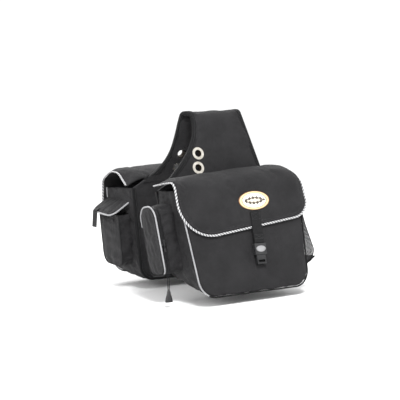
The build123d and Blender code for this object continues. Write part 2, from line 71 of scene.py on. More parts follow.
# Two nylon saddle bags on a padded yoke. Every soft piece is a quad mesh drawn in its bag's own
# frame (x, outward from the back, up from the seam), swollen as cloth between its pinned seams.

HALF = 150.0          # half a bag's width at its mouth
HEIGHT = 213.0        # from mouth to bottom
TAPER = 18.0          # how much narrower each side is at the bottom
MOUTH = -18.0         # below the seam to the yoke
BOTTOM = MOUTH - HEIGHT
CORNER = 35.0
SEAM_Y = 53.0         # where the bags are sewn to the yoke, and how far below its top
DROP = 142.0
RIDGE = 8.0           # half the width of the yoke's flat top
LEG = math.atan((SEAM_Y - RIDGE) / DROP)
YOKE_THICK = 8.0

# Depth at the mouth and bottom, outward lean, the flap's section, its lower edge and corners, where
# badge and strap are, how the bottom sags, and how the flap bulges. Each end is a side, the length
# over which the flap droops to it, and its fall at the crown and at the crease.
BAGS = {
    "near": dict(side=-1, depth=(104.0, 128.0), splay=9.0, crown=[(40.0, -4.0)], shoulder=-20.0,
                 drop=129.0, slope=6.0, corners=(72.0, 38.0), badge_x=24.0, strap_x=21.0, lean=2.0,
                 foot=(18.0, -22.0), bulge=3.0,
                 ends=[(1, 50.0, 20.0, 14.0), (-1, 24.0, 5.0, 2.0)]),
    "far": dict(side=1, depth=(134.0, 138.0), splay=2.0, crown=[(38.0, 11.0), (80.0, 9.0)], shoulder=-14.0,
                drop=123.0, slope=0.0, corners=(50.0, 50.0), badge_x=0.0, strap_x=0.0, lean=0.0,
                foot=(0.0, 0.0), bulge=7.0,
                ends=[(1, 30.0, 10.0, 12.0), (-1, 40.0, 6.0, 15.0)]),
}
HINGE = (11.5, 2.0)
FLAP_HALF = 157.0
BADGE_BELOW_SHOULDER = 54.0
BADGE_HALF = (38.5, 20.5)
STRAP_BELOW_SHOULDER = 79.0
STRAP_LENGTH = 68.0
BUCKLE_HEIGHT = 44.0
ROPE = 2.35
PIPING = 1.75


# ---- Lines and frames ----
def unit(a):
    return a / np.maximum(np.linalg.norm(a, axis=-1, keepdims=True), 1e-9)


def rounded(points, radii, step=1.5):
    """An open line through points, with its corners rounded, as dense points."""
    pts = [np.array(p, float) for p in points]
    out = [pts[0]]
    for a, b, c, r in zip(pts, pts[1:], pts[2:], radii):
        u, v = unit(a - b), unit(c - b)
        turn = math.pi - math.acos(float(np.clip(u @ v, -1, 1)))
        if turn < 1e-3:
            out.append(b)
            continue
        r = min(r, 0.48 * min(np.linalg.norm(a - b), np.linalg.norm(c - b)) / math.tan(turn / 2))
        reach = r * math.tan(turn / 2)
        centre = b + unit(u + v) * r / math.cos(turn / 2)
        d0, d1 = b + u * reach - centre, b + v * reach - centre
        count = max(4, int(r * turn / step))
        for k in range(count + 1):
            f = k / count
            out.append(centre + (math.sin((1 - f) * turn) * d0 + math.sin(f * turn) * d1) / math.sin(turn))
    out.append(pts[-1])
    return np.array(out)


def lengths(line):
    return np.concatenate([[0], np.cumsum(np.linalg.norm(np.diff(line, axis=0), axis=1))])


def at_length(line, s):
    run = lengths(line)
    return np.stack([np.interp(s, run, line[:, k]) for k in range(line.shape[1])], -1)


def resample(line, count):
    return at_length(line, np.linspace(0, lengths(line)[-1], count))


def smooth_line(points, per=12):
    """A smooth line through points."""
    p = np.array(points, float)
    p = np.vstack([2 * p[0] - p[1], p, 2 * p[-1] - p[-2]])
    out = []
    for a, b, c, d in zip(p, p[1:], p[2:], p[3:]):
        for t in np.linspace(0, 1, per, endpoint=False):
            out.append(0.5 * (2 * b + (c - a) * t + (2 * a - 5 * b + 4 * c - d) * t ** 2
                              + (3 * b - a - 3 * c + d) * t ** 3))
    out.append(p[-2])
    return np.array(out)


def normals_2d(line):
    """Normals to the left of a line's direction."""
    t = unit(np.gradient(line, axis=0))
    return np.stack([-t[:, 1], t[:, 0]], -1)


def to_row(bag, x, v, w):
    """From a bag's own frame to the row frame, in metres."""
    spec = BAGS[bag]
    s = math.radians(spec["splay"])
    x, v, w = np.broadcast_arrays(np.asarray(x, float), np.asarray(v, float), np.asarray(w, float))
    y = -v * math.cos(s) + w * math.sin(s) - SEAM_Y
    z = v * math.sin(s) + w * math.cos(s) - DROP
    return np.stack([x, y * -spec["side"], z], -1) * MM


def half_width(w):
    return HALF - TAPER * (MOUTH - w) / HEIGHT


def depth_at(bag, w):
    top, low = BAGS[bag]["depth"]
    return top + (low - top) * (MOUTH - w) / HEIGHT


def footed(bag, v, w):
    """Raises the bag's bottom at the back and lowers it at the front, below the corners' start."""
    back, front = BAGS[bag]["foot"]
    foot = back + (front - back) * v / BAGS[bag]["depth"][1]
    return w + foot * np.clip((MOUTH - w) / (MOUTH - BOTTOM), 0, 1.05)


def ease(t):
    t = np.clip(t, 0, 1)
    return t * t * (3 - 2 * t)


# ---- Meshes ----
def mesh_object(name, verts, faces, uvs, material, smooth=True):
    mesh = bpy.data.meshes.new(name)
    mesh.from_pydata([tuple(v) for v in verts], [], faces)
    layer = mesh.uv_layers.new(name="UVMap")
    index = np.zeros(len(mesh.loops), np.int32)
    mesh.loops.foreach_get("vertex_index", index)
    layer.data.foreach_set("uv", np.asarray(uvs, np.float32)[index].ravel())
    mesh.validate()
    if smooth:
        mesh.polygons.foreach_set("use_smooth", [True] * len(mesh.polygons))
    mesh.materials.append(material)
    obj = bpy.data.objects.new(name, mesh)
    bpy.context.scene.collection.objects.link(obj)
    return obj


def outward(obj):
    """Turns every face to point out of a closed mesh."""
    b = bmesh.new()
    b.from_mesh(obj.data)
    bmesh.ops.recalc_face_normals(b, faces=b.faces)
    b.to_mesh(obj.data)
    b.free()


def grid_uv(grid):
    du = np.linalg.norm(np.diff(grid, axis=0), axis=-1).mean(1)
    dv = np.linalg.norm(np.diff(grid, axis=1), axis=-1)
    u = np.concatenate([[0], np.cumsum(du)])[:, None] + np.zeros(grid.shape[:2])
    v = np.concatenate([np.zeros((grid.shape[0], 1)), np.cumsum(dv, 1)], 1)
    return np.stack([u, v], -1)


def grid_faces(nu, nv, start=0, flip=False):
    out = []
    for i in range(nu - 1):
        for j in range(nv - 1):
            a = start + i * nv + j
            quad = (a, a + nv, a + nv + 1, a + 1)
            out.append(quad[::-1] if flip else quad)
    return out


def ring_faces(rings, around, start=0):
    """Faces between closed rings of points."""
    faces = []
    for i in range(start, start + (rings - 1) * around, around):
        for j in range(around):
            k = (j + 1) % around
            faces.append((i + j, i + k, i + around + k, i + around + j))
    return faces


def pad(name, outer, inner, material, pinned=None, flat=False):
    """A closed piece between two grids. Its border is pinned, and any vertex of the outer grid that
    pinned, a mask, names. A flat piece's inner grid is pinned as well."""
    nu, nv = outer.shape[:2]
    count = nu * nv
    faces = grid_faces(nu, nv) + grid_faces(nu, nv, count, True)
    ring = [(i, 0) for i in range(nu)] + [(nu - 1, j) for j in range(1, nv)]
    ring += [(i, nv - 1) for i in range(nu - 2, -1, -1)] + [(0, j) for j in range(nv - 2, 0, -1)]
    ids = [i * nv + j for i, j in ring]
    for a, b in zip(ids, ids[1:] + ids[:1]):
        faces.append((b, a, a + count, b + count))
    uv = grid_uv(outer).reshape(-1, 2)
    obj = mesh_object(name, np.vstack([outer.reshape(-1, 3), inner.reshape(-1, 3)]), faces,
                      np.vstack([uv, uv]), material)
    outward(obj)
    hold = np.zeros((nu, nv), bool)
    hold[[0, -1], :] = True
    hold[:, [0, -1]] = True
    both = np.stack([hold | (pinned if pinned is not None else False), hold | flat]).reshape(-1)
    group = obj.vertex_groups.new(name="pin")
    group.add([int(k) for k in np.flatnonzero(both)], 1.0, "REPLACE")
    return obj


SWELLING = []


def swell(obj, pressure=4.0, cap=8.0, grow=0.01, stiffness=12.0, bending=0.5):
    """Marks a piece for the cloth run."""
    SWELLING.append((obj, cap))
    cloth = obj.modifiers.new("Cloth", "CLOTH")
    s = cloth.settings
    s.quality = 4
    s.mass = 0.25
    s.tension_stiffness = stiffness
    s.compression_stiffness = stiffness
    s.shear_stiffness = stiffness * 0.5
    s.bending_stiffness = bending
    s.tension_damping = 8
    s.air_damping = 3
    s.vertex_group_mass = "pin"
    s.use_pressure = True
    s.uniform_pressure_force = pressure
    s.shrink_min = -grow
    s.effector_weights.gravity = 0
    cloth.collision_settings.use_collision = False
    cloth.collision_settings.use_self_collision = False
    cloth.point_cache.frame_start = 1
    cloth.point_cache.frame_end = 20
    return obj


def coords(mesh):
    co = np.zeros(len(mesh.vertices) * 3, np.float32)
    mesh.vertices.foreach_get("co", co)
    return co.reshape(-1, 3).astype(float)


def run_cloth():
    """Runs every marked piece together, caps how far each point moves, and applies it."""
    scene = bpy.context.scene
    for f in range(1, 21):
        scene.frame_set(f)
    graph = bpy.context.evaluated_depsgraph_get()
    for obj, cap in SWELLING:
        found = obj.evaluated_get(graph)
        moved = coords(found.data)
        rest = coords(obj.data)
        d = moved - rest
        size = np.linalg.norm(d, axis=1, keepdims=True)
        room = cap * MM
        d = d * np.where(size > 1e-9, room * np.tanh(size / room) / np.maximum(size, 1e-9), 0)
        obj.modifiers.clear()
        obj.data.vertices.foreach_set("co", (rest + d).astype(np.float32).ravel())
        subdivide(obj)
    scene.frame_set(1)


def subdivide(obj, levels=1):
    sub = obj.modifiers.new("Subdivision", "SUBSURF")
    sub.levels = sub.render_levels = levels
    sub.uv_smooth = "PRESERVE_BOUNDARIES"
    graph = bpy.context.evaluated_depsgraph_get()
    mesh = bpy.data.meshes.new_from_object(obj.evaluated_get(graph))
    obj.modifiers.clear()
    obj.data = mesh
    return obj


def ripples(obj, amount, scale, seed, stretch=(1, 1, 1)):
    """Moves a mesh's points along their normals by soft folds, amount in mm."""
    rng = np.random.default_rng(seed)
    co = coords(obj.data)
    nor = np.zeros(len(co) * 3, np.float32)
    obj.data.vertices.foreach_get("normal", nor)
    p = co / MM * np.array(stretch)
    total = np.zeros(len(co))
    for k in range(7):
        direction = unit(rng.normal(size=3))
        bend = 0.9 * np.sin(p @ unit(rng.normal(size=3)) * 2.1 / scale + rng.uniform(0, 6))
        wave = np.sin(p @ direction * 2 * math.pi / (scale * rng.uniform(0.7, 1.6)) + rng.uniform(0, 6) + bend)
        total += np.sign(wave) * np.abs(wave) ** 1.6
    total *= amount / 3.0
    moved = co + nor.reshape(-1, 3) * total[:, None] * MM
    obj.data.vertices.foreach_set("co", moved.astype(np.float32).ravel())
    obj.data.update()
    return obj


def sweep(name, line, a, b, profile, material):
    """A profile of (a, b) points in mm carried along a line in metres. a and b are directions."""
    n, m = len(line), len(profile)
    profile = np.array(profile, float)
    verts = np.vstack([line[i] + (profile[:, :1] * a[i] + profile[:, 1:] * b[i]) * MM for i in range(n)])
    run = lengths(np.asarray(line))
    girth = np.concatenate([[0], np.cumsum(np.linalg.norm(np.diff(profile, axis=0), axis=1))]) * MM
    uv = np.stack([np.repeat(run, m), np.tile(girth, n)], -1)
    faces = ring_faces(n, m)
    faces.append(tuple(range(m))[::-1])
    faces.append(tuple((n - 1) * m + j for j in range(m)))
    obj = mesh_object(name, verts, faces, uv, material)
    outward(obj)
    return obj


def frames(line, up):
    """Directions a, across the line away from up, and b, up made square to it."""
    t = unit(np.gradient(line, axis=0))
    up = np.broadcast_to(np.asarray(up, float), line.shape)
    a = unit(np.cross(t, up))
    return a, np.cross(a, t)


def circle(radius, count=12):
    k = np.arange(count) * 2 * math.pi / count
    return np.stack([radius * np.cos(k), radius * np.sin(k)], -1)


def stitches(name, line, up, material, spacing=3.6, length=2.5, radius=0.34, lift=0.15):
    """A row of thread stitches along a line in metres, on a surface whose normal is up."""
    total = lengths(line)[-1]
    count = max(2, int(total / (spacing * MM)))
    verts, faces, uvs = [], [], []
    up = np.broadcast_to(np.asarray(up, float), line.shape)
    shape = circle(radius, 6)
    stations = [(-0.5, 0.25, -0.9), (-0.38, 0.9, 0.15), (0, 1.0, 0.4), (0.38, 0.9, 0.15), (0.5, 0.25, -0.9)]
    for k in range(count):
        s = (k + 0.5) / count * total
        here = at_length(line, np.array([s - 0.5 * MM, s, s + 0.5 * MM]).clip(0, total))
        t = unit(here[2] - here[0])
        n = at_length(up, np.array([s / total * lengths(up)[-1]]))[0] if lengths(up)[-1] > 1e-6 else up[0]
        a = unit(np.cross(t, n))
        n = np.cross(a, t)
        base = len(verts)
        for along, size, high in stations:
            for p, q in shape * size:
                verts.append(here[1] + (t * along * length + a * p + n * (q + high * radius + lift)) * MM)
                uvs.append((along * length * MM, p * MM))
        faces += ring_faces(len(stations), 6, base)
        faces.append(tuple(base + j for j in range(6))[::-1])
        faces.append(tuple(base + 24 + j for j in range(6)))
    return mesh_object(name, verts, faces, uvs, material)


# ---- Materials ----
def new_material(name, color, roughness=0.7, metallic=0.0, sheen=0.0, specular=0.4, coat=0.0):
    mat = bpy.data.materials.new(name)
    mat.use_nodes = True
    tree = mat.node_tree
    bsdf = tree.nodes["Principled BSDF"]
    bsdf.inputs["Base Color"].default_value = (*color, 1)
    bsdf.inputs["Roughness"].default_value = roughness
    bsdf.inputs["Metallic"].default_value = metallic
    bsdf.inputs["Specular IOR Level"].default_value = specular
    bsdf.inputs["Sheen Weight"].default_value = sheen
    bsdf.inputs["Sheen Roughness"].default_value = 0.45
    bsdf.inputs["Coat Weight"].default_value = coat
    return mat, tree, bsdf


def math_node(tree, operation, a, b=None):
    n = tree.nodes.new("ShaderNodeMath")
    n.operation = operation
    for k, value in enumerate((a, b)):
        if value is None:
            continue
        if isinstance(value, (int, float)):
            n.inputs[k].default_value = value
        else:
            tree.links.new(value, n.inputs[k])
    return n.outputs[0]


def scaled(tree, source, scale):
    n = tree.nodes.new("ShaderNodeVectorMath")
    n.operation = "MULTIPLY"
    tree.links.new(source, n.inputs[0])
    n.inputs[1].default_value = scale
    return n.outputs[0]


def noise(tree, vector, scale, detail=4.0, rough=0.55):
    n = tree.nodes.new("ShaderNodeTexNoise")
    n.inputs["Scale"].default_value = scale
    n.inputs["Detail"].default_value = detail
    n.inputs["Roughness"].default_value = rough
    tree.links.new(vector, n.inputs["Vector"])
    return n.outputs["Fac"]


def bump(tree, bsdf, heights):
    """Chains bumps, each a height and its distance in metres and strength."""
    previous = None
    for height, distance, strength in heights:
        n = tree.nodes.new("ShaderNodeBump")
        n.inputs["Distance"].default_value = distance
        n.inputs["Strength"].default_value = strength
        tree.links.new(height, n.inputs["Height"])
        if previous is not None:
            tree.links.new(previous, n.inputs["Normal"])
        previous = n.outputs["Normal"]
    tree.links.new(previous, bsdf.inputs["Normal"])


def mix_color(tree, factor, low, high):
    n = tree.nodes.new("ShaderNodeMix")
    n.data_type = "RGBA"
    tree.links.new(factor, n.inputs["Factor"])
    for value, name in ((low, "A"), (high, "B")):
        socket = [i for i in n.inputs if i.name == name and i.type == "RGBA"][0]
        if isinstance(value, tuple):
            socket.default_value = (*value, 1)
        else:
            tree.links.new(value, socket)
    return [o for o in n.outputs if o.type == "RGBA"][0]


def ramp(tree, factor, low, high):
    n = tree.nodes.new("ShaderNodeMapRange")
    n.inputs["From Min"].default_value = low
    n.inputs["From Max"].default_value = high
    tree.links.new(factor, n.inputs["Value"])
    return n.outputs["Result"]


def weave_height(tree, uv, pitch):
    """Over-and-under threads of a plain weave, pitch in metres."""
    split = tree.nodes.new("ShaderNodeSeparateXYZ")
    tree.links.new(scaled(tree, uv, (math.pi / pitch,) * 3), split.inputs[0])
    a = math_node(tree, "SINE", split.outputs[0])
    b = math_node(tree, "SINE", split.outputs[1])
    return math_node(tree, "MULTIPLY", math_node(tree, "MULTIPLY", a, b), 1.0)


def fabric(name, color, light, pitch=0.0011, roughness=0.72, sheen=0.25, weave=0.00025, folds=0.0012,
           thread_highlight_amount=0.25, specular=0.35):
    """Woven cloth: threads, colour variation, a painted highlight on the raised threads and fine creases."""
    mat, tree, bsdf = new_material(name, color, roughness, sheen=sheen, specular=specular)
    at = tree.nodes.new("ShaderNodeTexCoord")
    threads = weave_height(tree, at.outputs["UV"], pitch)
    place = at.outputs["Object"]
    large = noise(tree, place, 22.0, 5.0)
    fine = noise(tree, place, 260.0, 3.0)
    creases = noise(tree, place, 60.0, 6.0, 0.62)
    shade = ramp(tree, large, 0.3, 0.75)
    base = mix_color(tree, shade, color, light)
    # Painted highlight: the raised threads of the weave are mixed towards a lighter colour.
    thread_highlight_color = tuple(min(1.0, c * 1.7 + 0.004) for c in light)
    lit = math_node(tree, "MULTIPLY", ramp(tree, threads, -0.2, 1.0), thread_highlight_amount)
    base = mix_color(tree, lit, base, thread_highlight_color)
    tree.links.new(base, bsdf.inputs["Base Color"])
    rough = math_node(tree, "ADD", math_node(tree, "MULTIPLY", fine, 0.16), roughness - 0.08)
    tree.links.new(rough, bsdf.inputs["Roughness"])
    bump(tree, bsdf, [(creases, folds, 0.55), (threads, weave, 0.9), (fine, 0.0002, 0.5)])
    return mat


def webbing(name, color, light, rib=0.0016, pitch=0.0011, roughness=0.6):
    """Flat woven tape: ribs across its width, broken into yarns, with a painted highlight on their raised parts.
    """
    mat, tree, bsdf = new_material(name, color, roughness, sheen=0.02, specular=0.18)
    at = tree.nodes.new("ShaderNodeTexCoord")
    split = tree.nodes.new("ShaderNodeSeparateXYZ")
    tree.links.new(at.outputs["UV"], split.inputs[0])
    along = math_node(tree, "MULTIPLY", split.outputs[0], math.pi / pitch)
    over = math_node(tree, "MULTIPLY", split.outputs[1], math.pi / rib)
    zigzag = math_node(tree, "PINGPONG", over, math.pi)
    skew = math_node(tree, "ADD", along, math_node(tree, "MULTIPLY", zigzag, 1.0))
    yarns = math_node(tree, "SINE", skew)
    ribs = math_node(tree, "ABSOLUTE", math_node(tree, "SINE", over))
    height = math_node(tree, "ADD", math_node(tree, "MULTIPLY", yarns, 0.5), ribs)
    fine = noise(tree, at.outputs["Object"], 300.0)
    # Painted highlight: the raised ribs and yarns are mixed towards the lighter colour.
    lit = math_node(tree, "MULTIPLY", ramp(tree, height, 0.4, 1.5), 0.6)
    tree.links.new(mix_color(tree, lit, color, light), bsdf.inputs["Base Color"])
    rough = math_node(tree, "ADD", math_node(tree, "MULTIPLY", fine, 0.2), roughness - 0.1)
    tree.links.new(rough, bsdf.inputs["Roughness"])
    bump(tree, bsdf, [(height, 0.0004, 0.8), (fine, 0.0002, 0.4)])
    return mat


def rope_material(name, dark, light, pitch, girth, strands):
    """Twisted cord: light and dark yarns that wind round it."""
    mat, tree, bsdf = new_material(name, light, 0.45, sheen=0.3, specular=0.6)
    at = tree.nodes.new("ShaderNodeTexCoord")
    split = tree.nodes.new("ShaderNodeSeparateXYZ")
    tree.links.new(at.outputs["UV"], split.inputs[0])
    along = math_node(tree, "MULTIPLY", split.outputs[0], 2 * math.pi / pitch)
    around = math_node(tree, "MULTIPLY", split.outputs[1], 2 * math.pi * strands / girth)
    wave = math_node(tree, "SINE", math_node(tree, "ADD", along, around))
    fibre = math_node(tree, "SINE", math_node(tree, "MULTIPLY", math_node(tree, "SUBTRACT", along, around), 5.0))
    fine = noise(tree, at.outputs["Object"], 420.0)
    lit = ramp(tree, wave, -0.75, 0.1)
    tree.links.new(mix_color(tree, lit, dark, light), bsdf.inputs["Base Color"])
    rough = math_node(tree, "ADD", math_node(tree, "MULTIPLY", fine, 0.25), 0.35)
    tree.links.new(rough, bsdf.inputs["Roughness"])
    bump(tree, bsdf, [(wave, 0.0006, 0.7), (fibre, 0.0002, 0.5), (fine, 0.0001, 0.4)])
    return mat


def hard(name, color, roughness, metallic=0.0, grain=0.0002, scale=160.0, coat=0.0, tone=None):
    """Moulded plastic or metal, with fine grain, smudges and worn tone."""
    mat, tree, bsdf = new_material(name, color, roughness, metallic, specular=0.5, coat=coat)
    at = tree.nodes.new("ShaderNodeTexCoord")
    fine = noise(tree, at.outputs["Object"], scale, 5.0)
    smudge = noise(tree, at.outputs["Object"], 38.0, 3.0)
    tone = tone or tuple(min(1.0, c * 1.35 + 0.01) for c in color)
    tree.links.new(mix_color(tree, ramp(tree, smudge, 0.35, 0.7), color, tone), bsdf.inputs["Base Color"])
    rough = math_node(tree, "ADD", math_node(tree, "MULTIPLY", smudge, 0.22), roughness - 0.1)
    tree.links.new(rough, bsdf.inputs["Roughness"])
    bump(tree, bsdf, [(fine, grain, 0.5)])
    return mat


def badge_material(name):
    """Printed leather badge: brown rim, cream field, whitish middle with a plain brown ornament."""
    mat, tree, bsdf = new_material(name, (0.75, 0.6, 0.4), 0.5, specular=0.45)
    at = tree.nodes.new("ShaderNodeTexCoord")
    split = tree.nodes.new("ShaderNodeSeparateXYZ")
    tree.links.new(at.outputs["UV"], split.inputs[0])
    r = split.outputs[0]
    u = math_node(tree, "MULTIPLY", split.outputs[0], math_node(tree, "COSINE", split.outputs[1]))
    v = math_node(tree, "MULTIPLY", split.outputs[0], math_node(tree, "SINE", split.outputs[1]))
    grain = noise(tree, at.outputs["Object"], 420.0, 5.0)
    patch = noise(tree, at.outputs["Object"], 70.0, 3.0)
    field = mix_color(tree, patch, (0.66, 0.47, 0.24), (0.78, 0.6, 0.36))
    middle = ramp(tree, r, 0.8, 0.76)
    base = mix_color(tree, middle, field, (0.76, 0.74, 0.66))
    across = math_node(tree, "ABSOLUTE", v)
    lens = math_node(tree, "ADD", math_node(tree, "MULTIPLY", math_node(tree, "MULTIPLY", u, u), 0.72),
                     math_node(tree, "MULTIPLY", across, 0.95))
    beads = math_node(tree, "SINE", math_node(tree, "MULTIPLY", u, 26.0))
    inside = ramp(tree, math_node(tree, "ADD", lens, math_node(tree, "MULTIPLY", beads, 0.06)), 0.4, 0.34)
    base = mix_color(tree, inside, base, (0.055, 0.04, 0.03))
    core = ramp(tree, math_node(tree, "ADD", lens, math_node(tree, "MULTIPLY", beads, -0.05)), 0.2, 0.15)
    base = mix_color(tree, core, base, (0.55, 0.5, 0.42))
    line = ramp(tree, math_node(tree, "ABSOLUTE", math_node(tree, "SUBTRACT", r, 0.79)), 0.03, 0.015)
    base = mix_color(tree, line, base, (0.2, 0.1, 0.04))
    rim = ramp(tree, r, 0.94, 0.965)
    base = mix_color(tree, rim, base, (0.16, 0.07, 0.025))
    tree.links.new(base, bsdf.inputs["Base Color"])
    rough = math_node(tree, "ADD", math_node(tree, "MULTIPLY", grain, 0.25), 0.35)
    tree.links.new(rough, bsdf.inputs["Roughness"])
    bump(tree, bsdf, [(grain, 0.0003, 0.5), (line, -0.0006, 0.6), (inside, 0.0004, 0.5)])
    return mat


def grommet_material(name):
    """Nickel plate of random tone, with painted shade inside the barrel, where the colour goes near-black brown
    and the surface is rougher.
    """
    mat, tree, bsdf = new_material(name, (0.7, 0.68, 0.62), 0.36, 1.0)
    at = tree.nodes.new("ShaderNodeTexCoord")
    split = tree.nodes.new("ShaderNodeSeparateXYZ")
    tree.links.new(at.outputs["Normal"], split.inputs[0])
    smudge = noise(tree, at.outputs["Object"], 120.0, 3.0)
    plate = mix_color(tree, ramp(tree, smudge, 0.3, 0.7), (0.5, 0.47, 0.41), (0.74, 0.71, 0.65))
    # Painted shade: away from the flange faces, inside the barrel, the colour goes near-black brown.
    face = ramp(tree, math_node(tree, "ABSOLUTE", split.outputs[1]), 0.42, 0.72)
    tree.links.new(mix_color(tree, face, (0.03, 0.022, 0.014), plate), bsdf.inputs["Base Color"])
    worn = math_node(tree, "SUBTRACT", 0.62, math_node(tree, "MULTIPLY", face, 0.28))
    rough = math_node(tree, "ADD", worn, math_node(tree, "MULTIPLY", smudge, 0.1))
    tree.links.new(rough, bsdf.inputs["Roughness"])
    bump(tree, bsdf, [(noise(tree, at.outputs["Object"], 400.0), 0.00005, 0.5)])
    return mat


BLACK = (0.0075, 0.0073, 0.0080)
BLACK_LIGHT = (0.0165, 0.0160, 0.0172)
M = {
    "nylon": fabric("black_nylon_weave", BLACK, BLACK_LIGHT, sheen=0.03, specular=0.2, folds=0.003),
    "lining": fabric("black_lining_weave", (0.012, 0.012, 0.014), (0.02, 0.02, 0.023), 0.0006, 0.5, 0.1,
                     0.0001),
    "binding": webbing("black_binding_ribs", (0.0035, 0.0035, 0.004), (0.008, 0.008, 0.009), 0.0012,
                       0.001),
    "webbing": webbing("black_webbing_ribs", (0.0035, 0.0035, 0.004), (0.011, 0.011, 0.012)),
    "thread": fabric("black_thread", (0.018, 0.018, 0.02), (0.03, 0.03, 0.033), 0.0004, 0.6, 0.2, 0.0001,
                     0.0002),
    "tan_thread": fabric("tan_thread", (0.3, 0.18, 0.08), (0.42, 0.28, 0.14), 0.0004, 0.6, 0.2, 0.0001,
                         0.0002),
    "piping": fabric("grey_piping_weave", (0.2, 0.2, 0.21), (0.3, 0.3, 0.31), 0.0008, 0.4, 0.2, 0.0002,
                     0.0004, 0.15, specular=0.6),
    "rope": rope_material("grey_rope_twist", (0.025, 0.025, 0.028), (0.5, 0.5, 0.51), 0.0070, 0.0151, 2),
    "mesh": fabric("black_mesh_yarn", (0.012, 0.012, 0.013), (0.03, 0.03, 0.032), 0.0006, 0.6, 0.1, 0.0001,
                   0.0003, 0.1),
    "cord": webbing("black_cord_braid", (0.008, 0.008, 0.009), (0.02, 0.02, 0.022), 0.0009, 0.0009),
    "nap": fabric("black_loop_nap", (0.004, 0.004, 0.0045), (0.009, 0.009, 0.01), 0.0014, 0.9, 0.05, 0.0005,
                  0.0006),
    "nickel": grommet_material("nickel_polished"),
    "emblem": hard("satin_metal", (0.3, 0.3, 0.31), 0.34, 1.0, 0.0001, 200.0, tone=(0.5, 0.5, 0.51)),
    "badge": badge_material("printed_leather"),
    "plastic": hard("black_moulded_plastic", (0.008, 0.008, 0.009), 0.42, 0.0, 0.00012, 500.0),
    "rubber": hard("black_soft_plastic", (0.007, 0.007, 0.008), 0.5, 0.0, 0.0002, 400.0),
    "metal": hard("black_plated_metal", (0.03, 0.03, 0.032), 0.3, 0.9, 0.0001, 240.0, coat=0.3),
}


# ---- Yoke ----
# The yoke's left edge, seen along the yoke's top, on the near and the far side
NEAR_EDGE = [(-33, 40), (-34.5, 8), (-31, -15), (-37.5, -47), (-55, -77), (-79, -104), (-107, -129),
             (-134, -152), (-160, -174)]
FAR_EDGE = [(-42, 40), (-43, 8), (-47, -18), (-51, -49), (-59, -82), (-76, -111), (-106, -137),
            (-134, -156), (-160, -174)]


def edge_x(points, z):
    line = smooth_line(points)[::-1]
    return np.interp(z, line[:, 1], line[:, 0])


def yoke_rows(count, gap=2.0):
    """The yoke's underside across the back, near seam first, as (y, z), with its normals."""
    low = -DROP + gap
    y = RIDGE + (SEAM_Y - RIDGE) * -low / DROP
    line = resample(rounded([(-y, low), (-RIDGE, 0), (RIDGE, 0), (y, low)], [6, 6], 0.6), count)
    return line, normals_2d(line)


def yoke_grid(rows, columns, lift, inset=0.0):
    line, normal = yoke_rows(rows)
    y, z = (line + normal * lift).T
    near = edge_x(NEAR_EDGE, z)
    far = edge_x(FAR_EDGE, z)
    t = ease((y + 14) / 28)
    left = near * (1 - t) + far * t + inset
    right = 90 + 38 * (30 - z) / 190 - inset
    u = np.linspace(0, 1, columns)
    x = left[:, None] * (1 - u) + right[:, None] * u
    return np.stack([x, y[:, None] + 0 * x, z[:, None] + 0 * x], -1) * MM, normal


def grommet_axes():
    """Each grommet's middle and direction, from the part's own mounts."""
    found = []
    for mount in frame["record"]["mounts"]:
        if mount["kind"] == "bore":
            found.append((np.array(mount["pos_m"]), unit(np.array(mount["axis"]))))
    return found


def from_axis(points, centre, axis):
    d = points - centre
    return np.linalg.norm(d - (d @ axis)[..., None] * axis, axis=-1), np.abs(d @ axis)


def clear_holes(obj, radius=0.0105):
    """Opens the cloth under each grommet's flange."""
    b = bmesh.new()
    b.from_mesh(obj.data)
    gone = []
    for face in b.faces:
        middle = np.array(face.calc_center_median())
        for centre, axis in grommet_axes():
            away, along = from_axis(middle, centre, axis)
            if away < radius and along < 0.02:
                gone.append(face)
                break
    bmesh.ops.delete(b, geom=gone, context="FACES")
    b.to_mesh(obj.data)
    b.free()


def make_yoke():
    outer, _ = yoke_grid(76, 46, YOKE_THICK, 2.0)
    inner, _ = yoke_grid(76, 46, 0.0, 2.0)
    pinned = np.zeros(outer.shape[:2], bool)
    for centre, axis in grommet_axes():
        away, along = from_axis(outer, centre, axis)
        pinned |= (away < 0.0165) & (along < 0.02)
    pinned[:, [1, -2]] = True
    yoke = pad("yoke_cover", outer, inner, M["nylon"], pinned)
    swell(yoke, 5.0, 7.0, 0.012)
    return yoke


def u_tape(name, side, lift=0.6):
    """Binding tape folded over one free edge of the yoke."""
    grid, normal = yoke_grid(150, 2, YOKE_THICK / 2)
    edge = grid[:, 0] if side < 0 else grid[:, 1]
    up = np.stack([np.zeros(len(normal)), normal[:, 0], normal[:, 1]], -1)
    t = unit(np.gradient(edge, axis=0))
    out = unit(np.cross(t, up)) * (1 if side < 0 else -1)
    if np.mean(out[:, 0]) * side < 0:
        out = -out
    h = YOKE_THICK / 2 + lift
    arc = [(0.2 + 1.6 * math.cos(k), h * math.sin(k)) for k in np.linspace(-math.pi / 2, math.pi / 2, 9)]
    profile = [(-8.5, -h), *arc, (-8.5, h), (-8.5, h - 0.9)]
    profile += [(-1.0, h - 1.2), (-1.0, -h + 1.2), (-8.5, -h + 0.9)]
    tape = sweep(name, edge, out, up, profile, M["binding"])
    rows = []
    for k, away in enumerate((2.6, 6.8)):
        for face, turn in (("out", 1), ("in", -1)):
            path = edge - out * away * MM + up * turn * h * MM
            rows.append(stitches(f"{name}_stitch_{face}_{k}", path, up * turn, M["thread"]))
    return tape, rows


# ---- Bag body ----
def side_line(count, grow=0.0):
    """The bag's outline as (x, w), from the left end of the mouth round the bottom to the right."""
    low = BOTTOM - grow
    top_x, low_x = half_width(MOUTH) + grow, half_width(low) + grow
    points = [(-top_x, MOUTH), (-low_x, low), (low_x, low), (top_x, MOUTH)]
    return resample(rounded(points, [CORNER + grow] * 2), count)


def side_normals(line):
    """The outline's normals, out of the bag."""
    normal = -normals_2d(line)
    return -normal if normal[0, 0] > 0 else normal


